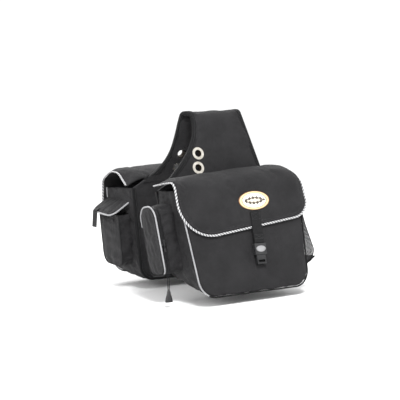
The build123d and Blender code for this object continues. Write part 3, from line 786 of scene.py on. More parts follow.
def sloped(bag, v, w):
    """Lowers a point near the mouth, which slants down to the front."""
    slope = 10.0 / (BAGS[bag]["depth"][0] - 8)
    return w - slope * np.maximum(v - 8, 0) * np.clip((w - BOTTOM) / HEIGHT, 0, 1)


def make_gusset(bag):
    line = side_line(132)
    normal = side_normals(line)
    grids = []
    for inset in (0.0, 3.0):
        edge = line - normal * inset
        v = np.linspace(0, 1, 24)[None, :] * (depth_at(bag, edge[:, 1])[:, None] - 3.4) + 1.6
        x = edge[:, :1] + 0 * v
        w = edge[:, 1:] + 0 * v
        grids.append(to_row(bag, x, v, footed(bag, v, sloped(bag, v, w))))
    piece = pad(f"{bag}_gusset_cloth", *grids, M["nylon"])
    swell(piece, 4.0, 5.0, 0.03)
    return piece


def outline_half(w, inset):
    """Half the width inside the bag's outline at each height, its lower corners included."""
    line = side_line(800, -inset)[400:]
    rising = line[line[:, 1] > BOTTOM + inset + 0.02]
    return np.interp(w, rising[:, 1], rising[:, 0])


def front_rows(bag, count, columns, back=0.0, inset=0.6):
    """The front panel as a grid: rows from its top edge down, columns left to right."""
    k = np.linspace(0, 1, count)
    top = MOUTH - 9.0
    w = top + (BOTTOM + inset - top) * (1 - (1 - k) ** 1.15)
    half = outline_half(w, inset)
    u = np.linspace(-1, 1, columns)
    x = half[:, None] * u
    return x, w[:, None] + 0 * x, depth_at(bag, w)[:, None] - back + 0 * x


def make_front(bag):
    grids = []
    for back in (0.0, 3.6):
        x, w, v = front_rows(bag, 44, 60, back)
        grids.append(to_row(bag, x, v, footed(bag, v, w)))
    spec = BAGS[bag]
    x, w, _ = front_rows(bag, 44, 60)
    strap_up = w - spec["shoulder"] + STRAP_BELOW_SHOULDER
    middle = spec["strap_x"] + strap_up * math.tan(math.radians(spec["lean"]))
    held = (w > flap_low(bag, x) - 11) | ((np.abs(x - middle) < 16) & (strap_up > -122))
    piece = pad(f"{bag}_front_cloth", *grids, M["nylon"], held, flat=True)
    swell(piece, 3.5, 4.0, 0.02)
    return piece


def make_back(bag):
    """The quilted back, with the band that joins it to the yoke above the mouth."""
    steps = np.concatenate([np.linspace(-1.5, MOUTH, 5)[:-1], np.linspace(MOUTH, BOTTOM + 0.6, 52)])
    half = outline_half(steps, 0.0)
    left = np.where(steps > MOUTH, -118 - 32 * (-steps / 18), -half) + 0.8
    right = np.where(steps > MOUTH, 124 + 26 * (-steps / 18), half) - 0.8
    u = np.linspace(0, 1, 56)
    x = left[:, None] * (1 - u) + right[:, None] * u
    w = steps[:, None] + 0 * x
    ribs = np.zeros(x.shape, bool)
    ribs[4::5, :] = True
    grids = [to_row(bag, x, v, footed(bag, v, w)) for v in (0.6, 7.4)]
    piece = pad(f"{bag}_back_cloth", *grids, M["nylon"], ribs)
    swell(piece, 6.0, 4.0, 0.01)
    return piece


def make_lining(bag):
    """The bag's inside: left wall, bottom and right wall, with the front's and back's inner faces."""
    line = side_line(70, -3.8)
    v = np.linspace(0, 1, 14)[None, :] * (depth_at(bag, line[:, 1])[:, None] - 13.4) + 8.4
    low = footed(bag, v, sloped(bag, v, line[:, 1:] + 0 * v))
    wall = to_row(bag, line[:, :1] + 0 * v, v, low)
    x, w, d = front_rows(bag, 24, 30, 5.0, 4.4)
    front = to_row(bag, x, d, footed(bag, d, w))
    back = to_row(bag, x, 8.4, footed(bag, 8.4, w + 9.0 * np.clip((w - BOTTOM) / HEIGHT, 0, 1)))
    verts, faces, uvs = [], [], []
    start = 0
    for grid in (wall, front, back):
        nu, nv = grid.shape[:2]
        faces += grid_faces(nu, nv, start)
        verts.append(grid.reshape(-1, 3))
        uvs.append(grid_uv(grid).reshape(-1, 2))
        start += nu * nv
    piece = mesh_object(f"{bag}_lining_cloth", np.vstack(verts), faces, np.vstack(uvs), M["lining"])
    subdivide(piece)
    return ripples(piece, 0.35, 26, 5)


def tube_along(name, line, radius, material, count=12):
    a, b = frames(line, (0.3, 0.55, 0.78))
    return sweep(name, line, a, b, circle(radius, count), material)


def corner_line(bag, out, back, count):
    """The line of the front seam, out from the outline and back from the front's outside."""
    line = side_line(count, out)
    depth = depth_at(bag, line[:, 1]) - back
    return to_row(bag, line[:, 0], depth, footed(bag, depth, sloped(bag, depth, line[:, 1])))


def make_front_piping(bag):
    """Grey piping down the left seam to its corner; along the bottom and right the same piping is drawn in the
    dark binding material as painted shade.
    """
    line = corner_line(bag, 1.6, 1.4, 260)
    split = 84
    grey = tube_along(f"{bag}_front_welt", line[: split + 1], PIPING, M["piping"])
    # Painted shade: this run of the grey piping takes the dark binding material.
    shaded_piping_run = tube_along(f"{bag}_front_welt_painted_shade", line[split:], PIPING, M["binding"])
    return grey, shaded_piping_run


def make_back_binding(bag):
    line = side_line(200, 0.2)
    normal = side_normals(line)
    low = footed(bag, 3.6, line[:, 1])
    path = to_row(bag, line[:, 0], 3.6, low)
    out = unit(to_row(bag, line[:, 0] + normal[:, 0], 3.6, low + normal[:, 1]) - path)
    depth = unit(to_row(bag, line[:, 0], 4.6, low) - path)
    arc = [(0.2 + 1.4 * math.cos(k), 4.2 * math.sin(k)) for k in np.linspace(-math.pi / 2, math.pi / 2, 9)]
    profile = [(-8, -4.2)] + arc + [(-2, 4.2), (-2, 3.4), (-0.8, 3.2), (-0.8, -3.2), (-8, -3.4)]
    tape = sweep(f"{bag}_edge_tape", path, out, depth, profile, M["binding"])
    row = stitches(f"{bag}_edge_stitch", path - out * 5.5 * MM - depth * 4.2 * MM, -depth, M["thread"])
    return tape, row


# ---- Flaps ----
def flap_tilt(bag):
    top, low = BAGS[bag]["depth"]
    return math.atan((low - top) / HEIGHT)


def flap_reach(bag):
    """How far the middle of the flap's front stands out from its hinge."""
    t = flap_tilt(bag)
    return (BAGS[bag]["depth"][0] - HINGE[0]) * math.cos(t) + (MOUTH - HINGE[1]) * math.sin(t) + 4.0


def from_flap(bag, x, v, w):
    """From a flap's frame, in which its front is upright, to the row frame."""
    t = flap_tilt(bag)
    out = v * math.cos(t) - w * math.sin(t) + HINGE[0]
    return to_row(bag, x, out, v * math.sin(t) + w * math.cos(t) + HINGE[1])


def flap_section(bag):
    spec = BAGS[bag]
    reach = flap_reach(bag)
    points = [(0.0, 0.0)] + spec["crown"] + [(reach, spec["shoulder"]), (reach, -spec["drop"] - 60)]
    return rounded(points, [60.0] * len(spec["crown"]) + [22.0], 1.0)


def flap_low(bag, x):
    """The height of the flap's lower edge at each x."""
    spec = BAGS[bag]
    rise = FLAP_HALF * math.tan(math.radians(spec["slope"]))
    low = -spec["drop"]
    line = rounded([(-FLAP_HALF, 40), (-FLAP_HALF, low - rise), (FLAP_HALF, low + rise), (FLAP_HALF, 40)],
                   list(spec["corners"]), 1.0)[1:-1]
    return np.interp(x, line[:, 0], line[:, 1])


def crease_lift(bag, x):
    """The flap's sewn edge runs up the yoke to the right on the near bag, in mm."""
    return 3.0 + (x + 10) * 0.07 if bag == "near" else 0 * x


def flap_grid(bag, columns, rows, lift):
    """The flap's surface, lifted from the middle of its thickness, with x across and s down it."""
    line = flap_section(bag)
    normal = normals_2d(line)
    run = lengths(line)
    u = np.linspace(-1, 1, columns)
    x = FLAP_HALF * (0.72 * np.sin(u * math.pi / 2) + 0.28 * u)
    end = run[-1] + (line[-1, 1] - flap_low(bag, x))
    k = np.linspace(0, 1, rows)
    s = end[:, None] * k[None, :]
    p = at_length(line, s.ravel()).reshape(columns, rows, 2)
    n = np.stack([np.interp(s.ravel(), run, normal[:, c]) for c in (0, 1)], -1).reshape(p.shape)
    p = p + unit(n) * lift
    grid = from_flap(bag, x[:, None] + 0 * s, p[..., 0], p[..., 1])
    reach = BAGS[bag]["depth"][0]
    fade = 1 - ease((s - 0.25 * reach) / (0.75 * reach))
    dz = crease_lift(bag, x)[:, None] * fade
    grid[..., 2] += dz * MM
    grid[..., 1] += dz * 0.317 * MM
    grid[..., 2] += BAGS[bag]["bulge"] * np.sin(np.clip(s / (1.25 * reach), 0, 1) * math.pi) ** 0.8 * MM
    for side, span, crown_fall, back_fall in BAGS[bag]["ends"]:
        near = np.clip((side * x - (FLAP_HALF - span)) / span, 0, 1)[:, None]
        back = 1 - ease(s / (0.4 * reach))
        crown = (1 - back) * (1 - ease((s - 0.9 * reach) / (0.75 * reach)))
        drop = (1 - np.sqrt(1 - 0.999 * near ** 2)) * crown_fall * crown + near ** 1.5 * back_fall * back
        grid[..., 2] -= drop * MM
    return grid, s, x


def flap_border(bag, lift=0.0, away=0.0, count=520):
    """The flap's free edge, left side down, along the bottom and up the right side, with normals."""
    grid, _, _ = flap_grid(bag, 90, 60, 0.0)
    above, _, _ = flap_grid(bag, 90, 60, 1.0)
    normal = unit(above - grid)
    ring = np.vstack([grid[0, 1:], grid[1:-1, -1], grid[-1, :0:-1]])
    up = np.vstack([normal[0, 1:], normal[1:-1, -1], normal[-1, :0:-1]])
    line = resample(np.hstack([ring, up * 0]), count)[:, :3]
    run = lengths(ring)
    up = unit(np.stack([np.interp(np.linspace(0, run[-1], count), run, up[:, c]) for c in range(3)], -1))
    t = unit(np.gradient(line, axis=0))
    out = unit(np.cross(t, up))
    middle = grid.reshape(-1, 3).mean(0)
    if np.mean(np.einsum("ij,ij->i", out, line - middle)) < 0:
        out = -out
    return line + (out * away + up * lift) * MM, up, out


def blend_flap(obj):
    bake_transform(obj)


def make_flap(bag):
    outer, s, x = flap_grid(bag, 72, 58, 2.0)
    inner, _, _ = flap_grid(bag, 72, 58, -2.0)
    near_edge = np.zeros(s.shape, bool)
    border, _, _ = flap_border(bag)
    for p in border[::6]:
        near_edge |= np.linalg.norm(outer - p, axis=-1) < 0.0075
    spec = BAGS[bag]
    down = at_length(flap_section(bag), s.ravel()).reshape(*s.shape, 2)[..., 1]
    across = x[:, None]
    badge_down = down - spec["shoulder"] + BADGE_BELOW_SHOULDER
    near_edge |= ((across - spec["badge_x"]) / 43) ** 2 + (badge_down / 25) ** 2 < 1
    near_edge |= (np.abs(across - spec["strap_x"]) < 16) & (down < spec["shoulder"] - 72)
    piece = pad(f"{bag}_flap_cloth", outer, inner, M["nylon"], near_edge, flat=True)
    swell(piece, 3.5, 5.0, 0.018)
    line, up, out = flap_border(bag, 0.0, 2.6)
    k = np.arange(14) * 2 * math.pi / 14
    lobe = ROPE * (0.86 + 0.14 * np.cos(2 * k))
    lobes = np.stack([lobe * np.cos(k), lobe * np.sin(k)], -1)
    rope = sweep(f"{bag}_flap_twist", line, out, up, lobes, M["rope"])
    rows = []
    for k, away in enumerate((-3.2, -7.0)):
        line, up, _ = flap_border(bag, 2.15, away)
        rows.append(stitches(f"{bag}_flap_stitch_{k}", line[8:-8], up[8:-8], M["thread"]))
    return piece, rope, rows


def badge_ring(bag, r, height, angles):
    """An oval round the badge's middle, r of its size, height in front of the flap."""
    spec = BAGS[bag]
    x = spec["badge_x"] + BADGE_HALF[0] * r * np.cos(angles)
    up = spec["shoulder"] - BADGE_BELOW_SHOULDER + BADGE_HALF[1] * r * np.sin(angles)
    return from_flap(bag, x, flap_reach(bag) + 2.0 + height, up)


def make_badge(bag):
    """A domed oval of leather with a sewn rim. Its UVs hold the radius and the angle."""
    turn = 72
    angles = np.arange(turn) * 2 * math.pi / turn
    radii = [0.0, 0.12, 0.25, 0.38, 0.5, 0.6, 0.68, 0.72, 0.76, 0.82, 0.88, 0.905, 0.93, 0.965, 0.99, 1.0, 1.0]
    heights = [2.5, 2.5, 2.47, 2.42, 2.35, 2.25, 2.12, 1.7, 1.98, 1.9, 1.8, 1.2, 1.7, 1.75, 1.5, 1.0, 0.0]
    verts = np.vstack([badge_ring(bag, r, 0.25 + h * 0.85, angles) for r, h in zip(radii, heights)])
    uvs = [(r, a) for r in radii for a in angles]
    piece = mesh_object(f"{bag}_badge_oval", verts, ring_faces(len(radii), turn), uvs, M["badge"])
    layer = piece.data.uv_layers[0]
    for poly in piece.data.polygons:
        angle = [layer.data[k].uv[1] for k in poly.loop_indices]
        if max(angle) - min(angle) > math.pi:
            for k in poly.loop_indices:
                if layer.data[k].uv[1] < math.pi:
                    layer.data[k].uv[1] += 2 * math.pi
    outward(piece)
    angles = np.linspace(0, 2 * math.pi, 160)
    line = badge_ring(bag, 0.955, 1.75, angles)
    ahead = badge_ring(bag, 0.955, 2.75, angles)
    rim = stitches(f"{bag}_badge_stitch", line, unit(ahead - line), M["tan_thread"], 2.6, 1.8, 0.3, 0.05)
    return piece, rim


# ---- Closure strap ----
def from_strap(bag, x, out, up):
    """From the strap's frame, at its stitched top end, to the row frame."""
    spec = BAGS[bag]
    lean = math.radians(spec["lean"])
    xs = x * math.cos(lean) + up * math.sin(lean) + spec["strap_x"]
    ws = -x * math.sin(lean) + up * math.cos(lean) + spec["shoulder"] - STRAP_BELOW_SHOULDER
    return from_flap(bag, xs, out + flap_reach(bag) + 2.4, ws)


def tape(name, bag, route, width, thick):
    """Webbing along a route of (out, up) points in the strap's frame."""
    line2 = resample(rounded(route, [1.6] * (len(route) - 2), 0.3), 110)
    n = normals_2d(line2)
    out, high = line2.T
    line = from_strap(bag, 0 * out, out, high)
    side = unit(from_strap(bag, 1 + 0 * out, out, high) - line)
    up = unit(from_strap(bag, 0 * out, out + n[:, 0], high + n[:, 1]) - line)
    a, b, r = width / 2, thick / 2, thick / 2 * 0.8
    flat = np.linspace(-a + r, a - r, 15)
    edge = a - 0.2 * r
    profile = [(k, b) for k in flat] + [(edge, b * 0.55), (a, 0), (edge, -b * 0.55)]
    profile += [(k, -b) for k in flat[::-1]] + [(-edge, -b * 0.55), (-a, 0), (-edge, b * 0.55)]
    return sweep(name, line, side, up, profile, M["webbing"])


def box_stitch(name, bag, half, low, high, out):
    """The sewn box with a cross that holds a strap's end."""
    corners = [(-half, low), (half, low), (half, high), (-half, high), (-half, low), (half, high)]
    objects = []
    runs = list(zip(corners, corners[1:])) + [((-half, high), (half, low))]
    for k, (a, b) in enumerate(runs):
        p = np.linspace(a, b, 12)
        line = from_strap(bag, p[:, 0], out + 0 * p[:, 0], p[:, 1])
        ahead = from_strap(bag, p[:, 0], out + 1 + 0 * p[:, 0], p[:, 1])
        objects.append(stitches(f"{name}_{k}", line, unit(ahead - line), M["thread"], 2.6, 2.0, 0.28, 0.1))
    return join(name, objects)


def join(name, objects):
    """Several meshes as one object."""
    for o in bpy.context.selected_objects:
        o.select_set(False)
    for o in objects:
        o.select_set(True)
    bpy.context.view_layer.objects.active = objects[0]
    bpy.ops.object.join()
    made = bpy.context.view_layer.objects.active
    made.name = name
    made.select_set(False)
    return made


def make_strap(bag):
    """The webbing with its doubled end through the socket, and the tongue's webbing on the bag."""
    top = -STRAP_LENGTH
    route = [(1.0, 0.0), (1.0, top + 6), (0.2, top + 1), (-1.4, top - 2.2)]
    strap = tape(f"{bag}_strap_webbing", bag, route, 25.0, 2.0)
    fold = tape(f"{bag}_strap_fold", bag, [(2.5, top + 1.5), (2.9, top + 8), (2.6, top + 21)], 24.6, 1.3)
    sewn = box_stitch(f"{bag}_strap_box", bag, 9.5, -16.0, -2.5, 2.05)
    bar = box_stitch(f"{bag}_strap_bar", bag, 9.5, top + 10, top + 19, 3.35)
    low = top - BUCKLE_HEIGHT
    anchor = tape(f"{bag}_anchor_tape", bag, [(-5.8, low + 13), (-5.5, low - 2.0)], 22.0, 1.4)
    return strap, fold, sewn, bar, anchor


# ---- Pockets on the sides ----
def on_side(bag, side, v, q, out):
    """A point on a side wall: v outward from the back, q up from the mouth and out from the wall."""
    run = math.hypot(TAPER, HEIGHT)
    x = side * (HALF + TAPER / run * q + HEIGHT / run * out)
    w = MOUTH + HEIGHT / run * q - TAPER / run * out
    return to_row(bag, x, v, w)


# The zip pocket's back, front, bottom and top, where its zip ends, and how far out from the bag its
# back wall, its zip and its panel reach.
ZIP_BOX = (8.0, 72.0, -175.0, -31.0)
ZIP_END = -145.0
ZIP_WALL = 36.0
ZIP_MIDDLE = 42.0
ZIP_PANEL = (46.8, 50.4)


def zip_loop(count, grow=0.0, whole=True):
    """The zip pocket's outline as (v, q), from the middle of its bottom round to it again."""
    a, b, c, d = ZIP_BOX
    a, b, c, d = a - grow, b + grow, c - grow, d + grow
    m = (a + b) / 2
    line = rounded([(m, c), (a, c), (a, d), (b, d), (b, c), (m, c)],
                   [20 + grow, 26 + grow, 26 + grow, 20 + grow], 0.8)
    if not whole:
        run = lengths(line)
        first = np.interp(ZIP_END, line[: len(line) // 2, 1], run[: len(line) // 2])
        return at_length(line, np.linspace(first, run[-1] - first, count))
    return resample(line, count)


def strip(name, outline, inner, low, high, rows, material, bag="near", **cloth):
    """A wall that follows an outline on the bag's left side, from low to high out from it."""
    out = np.linspace(low, high, rows)[None, :]
    grids = [on_side(bag, -1, o[:, :1] + 0 * out, o[:, 1:] + 0 * out, out + 0 * o[:, :1])
             for o in (outline, inner)]
    piece = pad(name, *grids, material)
    if cloth:
        swell(piece, **cloth)
    return piece


def rounded_face(low_v, high_v, low_q, high_q, top_r, low_r, rows, columns):
    """A rounded rectangle as a grid of (v, q)."""
    k = np.linspace(0, math.pi, rows)
    q = (high_q + low_q) / 2 + (high_q - low_q) / 2 * np.cos(k)
    dx = np.zeros(rows)
    for r, past in ((top_r, q - high_q + top_r), (low_r, low_q + low_r - q)):
        if r:
            dx = np.where(past > 0, r - np.sqrt(np.maximum(r ** 2 - past ** 2, 0)), dx)
    u = np.linspace(0, 1, columns)
    v = (low_v + dx)[:, None] * (1 - u) + (high_v - dx)[:, None] * u
    return v, q[:, None] + 0 * v


def make_zip_pocket():
    made = {}
    nylon = M["nylon"]
    made["wall"] = strip("near_zip_wall", zip_loop(120), zip_loop(120, -2.4), 0.3, ZIP_WALL, 12, nylon,
                         pressure=5.0, cap=5.0, grow=0.035)
    loop = zip_loop(200)
    lower = [np.flatnonzero(loop[:100, 1] > ZIP_END)[0], 100 + np.flatnonzero(loop[100:, 1] < ZIP_END)[0]]
    base = resample(np.vstack([loop[lower[1]:], loop[1:lower[0] + 1]]), 60)
    n = normals_2d(base)
    inner = base + n * 2.2 * np.sign(n[30, 1])
    made["foot"] = strip("near_zip_foot", base, inner, ZIP_WALL, 46.6, 6, nylon,
                         pressure=5.0, cap=3.0, grow=0.02)
    edges = zip_loop(150, -0.5, whole=False), zip_loop(150, -1.5, whole=False)
    made["tape_in"] = strip("near_zip_tape_in", *edges, ZIP_WALL, 40.6, 4, M["binding"])
    made["tape_out"] = strip("near_zip_tape_out", *edges, 43.4, 46.6, 4, M["binding"])
    made["teeth"] = zip_teeth()
    low_v, high_v, low_q, high_q = ZIP_BOX
    v, q = rounded_face(low_v + 0.4, high_v - 0.4, low_q + 0.4, high_q - 0.4, 26, 20, 34, 20)
    panel = pad("near_zip_front", *[on_side("near", -1, v, q, out) for out in ZIP_PANEL[::-1]], nylon)
    made["panel"] = swell(panel, 5.0, 7.0, 0.012)
    ring = on_side("near", -1, *zip_loop(220, 1.6).T, 48.9)
    made["welt"] = tube_along("near_zip_welt", ring[74:204], PIPING, M["piping"])
    # Painted shade: the run of the grey piping along the pocket's bottom and lower back edge takes the dark
    # binding material.
    dark = np.vstack([ring[203:], ring[1:75]])
    made["painted_shade_welt"] = tube_along("near_zip_welt_painted_shade", dark, PIPING, M["binding"])
    row = zip_loop(220, -4.0).T
    line = on_side("near", -1, *row, 51.2)
    up = unit(on_side("near", -1, *row, 52.2) - line)
    made["stitch"] = stitches("near_zip_stitch", line, up, M["thread"])
    return made


def zip_teeth():
    """The zip's coil: interlocking teeth over the pocket's front, top and back."""
    line = zip_loop(172, 0.0, whole=False)
    normal = unit(np.gradient(line, axis=0)) @ np.array([[0, 1], [-1, 0]])
    if np.mean(np.sum(normal * (line - line.mean(0)), -1)) < 0:
        normal = -normal
    verts, faces, uvs = [], [], []
    t = unit(np.gradient(line, axis=0))
    bottom = [(-0.55, -1.7), (0.55, -1.7), (0.55, 1.7), (-0.55, 1.7)]
    top = [(-0.38, -1.4), (0.38, -1.4), (0.38, 1.4), (-0.38, 1.4)]
    corners = [(*c, -0.6) for c in bottom] + [(*c, 0.7) for c in top]
    box = ((4, 5, 6, 7), (0, 3, 2, 1), (0, 1, 5, 4), (1, 2, 6, 5), (2, 3, 7, 6), (3, 0, 4, 7))
    for k in range(len(line)):
        shift = 0.75 if k % 2 else -0.75
        base = len(verts)
        for along, away, lift in corners:
            p = line[k] + t[k] * along + normal[k] * (lift - 0.6)
            verts.append(on_side("near", -1, p[0], p[1], ZIP_MIDDLE + shift + away))
            uvs.append((along * MM, away * MM))
        faces += [tuple(base + i for i in f) for f in box]
    piece = mesh_object("near_zip_teeth", np.array(verts), faces, uvs, M["plastic"], smooth=False)
    outward(piece)
    return piece


# The far pocket's back, front, bottom and top, and its flap's length, overhang, corners and droop.
POCKET_BOX = (22.0, 122.0, -180.0, -60.0)
LID_LENGTH = 52.0
LID_OVER = 2.0
LID_RADIUS = 18.0
LID_DROOP = math.radians(32.0)


def pocket_sheet(v, q, lift):
    """A point on the far pocket's flap: v along the bag, q out from its sewn edge."""
    hinge = np.array([j for j in frame["joints"] if j["name"] == "pocket_flap_lift"][0]["pos_m"])
    v, q = np.broadcast_arrays(np.asarray(v, float), np.asarray(q, float))
    along = unit(to_row("far", 0, 1, 0) - to_row("far", 0, 0, 0))
    away = np.array([-math.cos(LID_DROOP), 0, -math.sin(LID_DROOP)])
    normal = np.array([-math.sin(LID_DROOP), 0, math.cos(LID_DROOP)])
    out = hinge + (v[..., None] - 24.0) * along * MM
    return out + away * q[..., None] * MM + normal * lift * MM


def lid_line(over, start, low, radius, count):
    """A U round the far pocket's flap, as v and q."""
    a, b = POCKET_BOX[0] - over, POCKET_BOX[1] + over
    return resample(rounded([(a, start), (a, low), (b, low), (b, start)], [radius] * 2, 0.8), count).T


def make_flap_pocket():
    made = {}
    low_v, high_v, low_q, high_q = POCKET_BOX
    line = rounded([(low_v, high_q), (low_v, low_q), (high_v, low_q), (high_v, high_q)], [24, 24], 1.0)
    outer = resample(line, 96)
    n = normals_2d(outer)
    if n[0, 0] < 0:
        n = -n
    made["wall"] = strip("far_pocket_wall", outer, outer + n * 2.2, 0.3, 31.8, 10, M["nylon"], "far",
                         pressure=5.0, cap=5.0, grow=0.03)
    v, q = rounded_face(low_v + 0.4, high_v - 0.4, low_q + 0.4, high_q, 0, 24, 30, 26)
    front = pad("far_pocket_front", *[on_side("far", -1, v, q, out) for out in (32.0, 29.6)], M["nylon"])
    made["front"] = swell(front, 5.0, 6.0, 0.015)
    edge = on_side("far", -1, *resample(line, 160).T, 31.6)
    made["edge"] = tube_along("far_pocket_edge", edge, 1.3, M["binding"], 8)
    v, q = rounded_face(low_v - LID_OVER, high_v + LID_OVER, 0.0, LID_LENGTH, LID_RADIUS, 0, 24, 34)
    flap = pad("far_pocket_lid", pocket_sheet(v, q, 1.5), pocket_sheet(v, q, -1.5), M["nylon"])
    made["flap"] = swell(flap, 4.0, 4.0, 0.015)
    edge = pocket_sheet(*lid_line(LID_OVER + 2.2, 3, LID_LENGTH + 2.2, LID_RADIUS + 2.2, 220), 0.0)
    made["welt"] = tube_along("far_pocket_welt", edge[:133], 1.9, M["piping"])
    # Painted shade: the front run of the grey piping round the flap takes the dark binding material.
    made["painted_shade_welt"] = tube_along("far_pocket_welt_painted_shade", edge[132:], 1.9, M["binding"])
    row = lid_line(-2, 4, LID_LENGTH - 4, LID_RADIUS - 4, 200)
    seam = pocket_sheet(*row, 1.9)
    made["stitch"] = stitches("far_lid_stitch", seam, unit(pocket_sheet(*row, 2.9) - seam), M["thread"])
    v, q = rounded_face(44.0, 104.0, LID_LENGTH - 28, LID_LENGTH - 8, 0, 0, 6, 16)
    made["loop"] = pad("far_loop_nap", pocket_sheet(v, q, -1.7), pocket_sheet(v, q, -2.7), M["nap"])
    v, q = rounded_face(44.0, 104.0, high_q - 30, high_q - 10, 0, 0, 6, 16)
    made["hook"] = pad("far_hook_nap", *[on_side("far", -1, v, q, out) for out in (34.6, 32.4)], M["nap"])
    start, bend, edge = [pocket_sheet(105.0, LID_LENGTH + past, lift)
                         for past, lift in ((-9.0, 2.8), (0.5, 3.4), (0.0, 0.0))]
    low = edge + np.array([-0.006, 0.0, -0.036])
    path = resample(rounded([start, bend, low], [0.004], 0.0006), 60)
    across = np.broadcast_to([0.0, 1.0, 0.0], path.shape)
    up = unit(np.cross(across, unit(np.gradient(path, axis=0))))
    flat = np.linspace(-10.4, 10.4, 12)
    profile = [(k, 1.0) for k in flat] + [(11, 0)] + [(k, -1.0) for k in flat[::-1]] + [(-11, 0)]
    made["tab"] = sweep("far_tab_webbing", path, across, up, profile, M["webbing"])
    return made


# ---- Mesh pocket ----
NET_V = (28.6, 105.4)  # its back and front edges on the bag's side


def net_depth(q):
    """How far the mesh pocket stands off the bag's side at a height."""
    return np.interp(q, [-194, -184, -174, -160, -77, -70], [7.0, 24.0, 36.6, 41.4, 10.4, 9.8])


def net_section(q, count):
    """The mesh pocket's outline at a height, as points (v, out)."""
    low_v, high_v = NET_V
    d = float(net_depth(q))
    r = min(10.0, d * 0.8)
    return resample(rounded([(low_v, 0.4), (low_v, d), (high_v, d), (high_v, 0.4)], [r, r], 0.6), count)


def make_mesh_pocket(bag):
    """Open net sewn to the bag's right side, with an elastic hem and a taped foot."""
    rows, width = 62, 61
    verts, faces, uvs = [], [], []
    for i, q in enumerate(np.linspace(-193.5, -71.0, rows)):
        for j, (v, d) in enumerate(resample(net_section(q, 240), width)):
            verts.append(on_side(bag, 1, v, q, d))
            uvs.append((j * 2.05 * MM, i * 2.0 * MM))
    for i in range(rows - 2):
        for j in range(1 + i % 2, width - 1, 2):
            a = i * width + j
            faces.append((a, a + width + 1, a + 2 * width, a + width - 1))
    net = mesh_object(f"{bag}_net", np.array(verts), faces, uvs, M["mesh"])
    b = bmesh.new()
    b.from_mesh(net.data)
    bmesh.ops.delete(b, geom=[v for v in b.verts if not v.link_faces], context="VERTS")
    b.to_mesh(net.data)
    b.free()
    wire = net.modifiers.new("Wireframe", "WIREFRAME")
    wire.thickness = 1.25 * MM
    wire.use_even_offset = True
    wire.use_boundary = True
    wire.use_replace = True
    graph = bpy.context.evaluated_depsgraph_get()
    mesh = bpy.data.meshes.new_from_object(net.evaluated_get(graph))
    net.modifiers.clear()
    net.data = mesh
    v, d = net_section(-72.5, 160).T
    line = on_side(bag, 1, v, np.full(160, -73.2), d)
    out = unit(on_side(bag, 1, v, np.full(160, -72.2), d) - line)
    profile = [(-1.0, -3.8), (1.0, -3.8), (1.3, 0), (1.0, 3.8), (-1.0, 3.8), (-1.3, 0)]
    hem = sweep(f"{bag}_net_hem", line, *frames(line, out), profile, M["binding"])
    v, d = net_section(-173.5, 120).T
    side, slope = np.linspace(-194, -70, 40), np.linspace(-194.5, -173.5, 26)
    seams = [(f"side_{k}", np.full(40, v0), side, np.full(40, 0.9), 1.3) for k, v0 in enumerate(NET_V)]
    seams += [("foot", v, np.full(120, -173.5), d + 0.3, 1.2)]
    seams += [(f"slope_{k}", np.full(26, v0), slope, net_depth(slope), 1.7) for k, v0 in enumerate(NET_V)]
    trim = [tube_along(f"{bag}_net_{name}", on_side(bag, 1, *place), radius, M["binding"], 8)
            for name, *place, radius in seams]
    low_v, high_v = NET_V
    q, v = np.meshgrid(np.linspace(-194.5, -174.0, 12), np.linspace(low_v + 0.5, high_v - 0.5, 26), indexing="ij")
    across = np.sin((v - low_v) / (high_v - low_v) * math.pi) ** 0.5
    belly = 2.4 * np.sin(np.clip((q + 194.5) / 20.5, 0, 1) * math.pi) * across
    grids = [on_side(bag, 1, v, q - lift * 0.8, net_depth(q) + lift * 0.55) for lift in (belly + 0.9, -0.9)]
    base = subdivide(pad(f"{bag}_net_base", *grids, M["nylon"]))
    return net, hem, join(f"{bag}_net_trim", trim), base


# ---- Pull cord ----
STRAND = [(-1.2, -150.5, -279.3), (-2.1, -153.7, -289.5), (-2.8, -158.1, -304.0), (-2.4, -160.4, -322.0),
          (-1.8, -160.2, -340.0), (-1.3, -160.4, -358.0)]
STRAND_X = -181.3


def strand(name, side):
    points = [(STRAND_X + side * x, y, z) for x, y, z in STRAND]
    curve = bpy.data.curves.new(name, "CURVE")
    curve.dimensions = "3D"
    curve.bevel_depth = 0.9 * MM
    curve.bevel_resolution = 4
    curve.resolution_u = 16
    spline = curve.splines.new("NURBS")
    spline.points.add(len(points) - 1)
    for p, q in zip(spline.points, points):
        p.co = (q[0] * MM, q[1] * MM, q[2] * MM, 1)
    spline.order_u = 3
    spline.use_endpoint_u = True
    curve.materials.append(M["cord"])
    obj = bpy.data.objects.new(name, curve)
    bpy.context.scene.collection.objects.link(obj)
    return obj, [c * MM for c in points[0]]


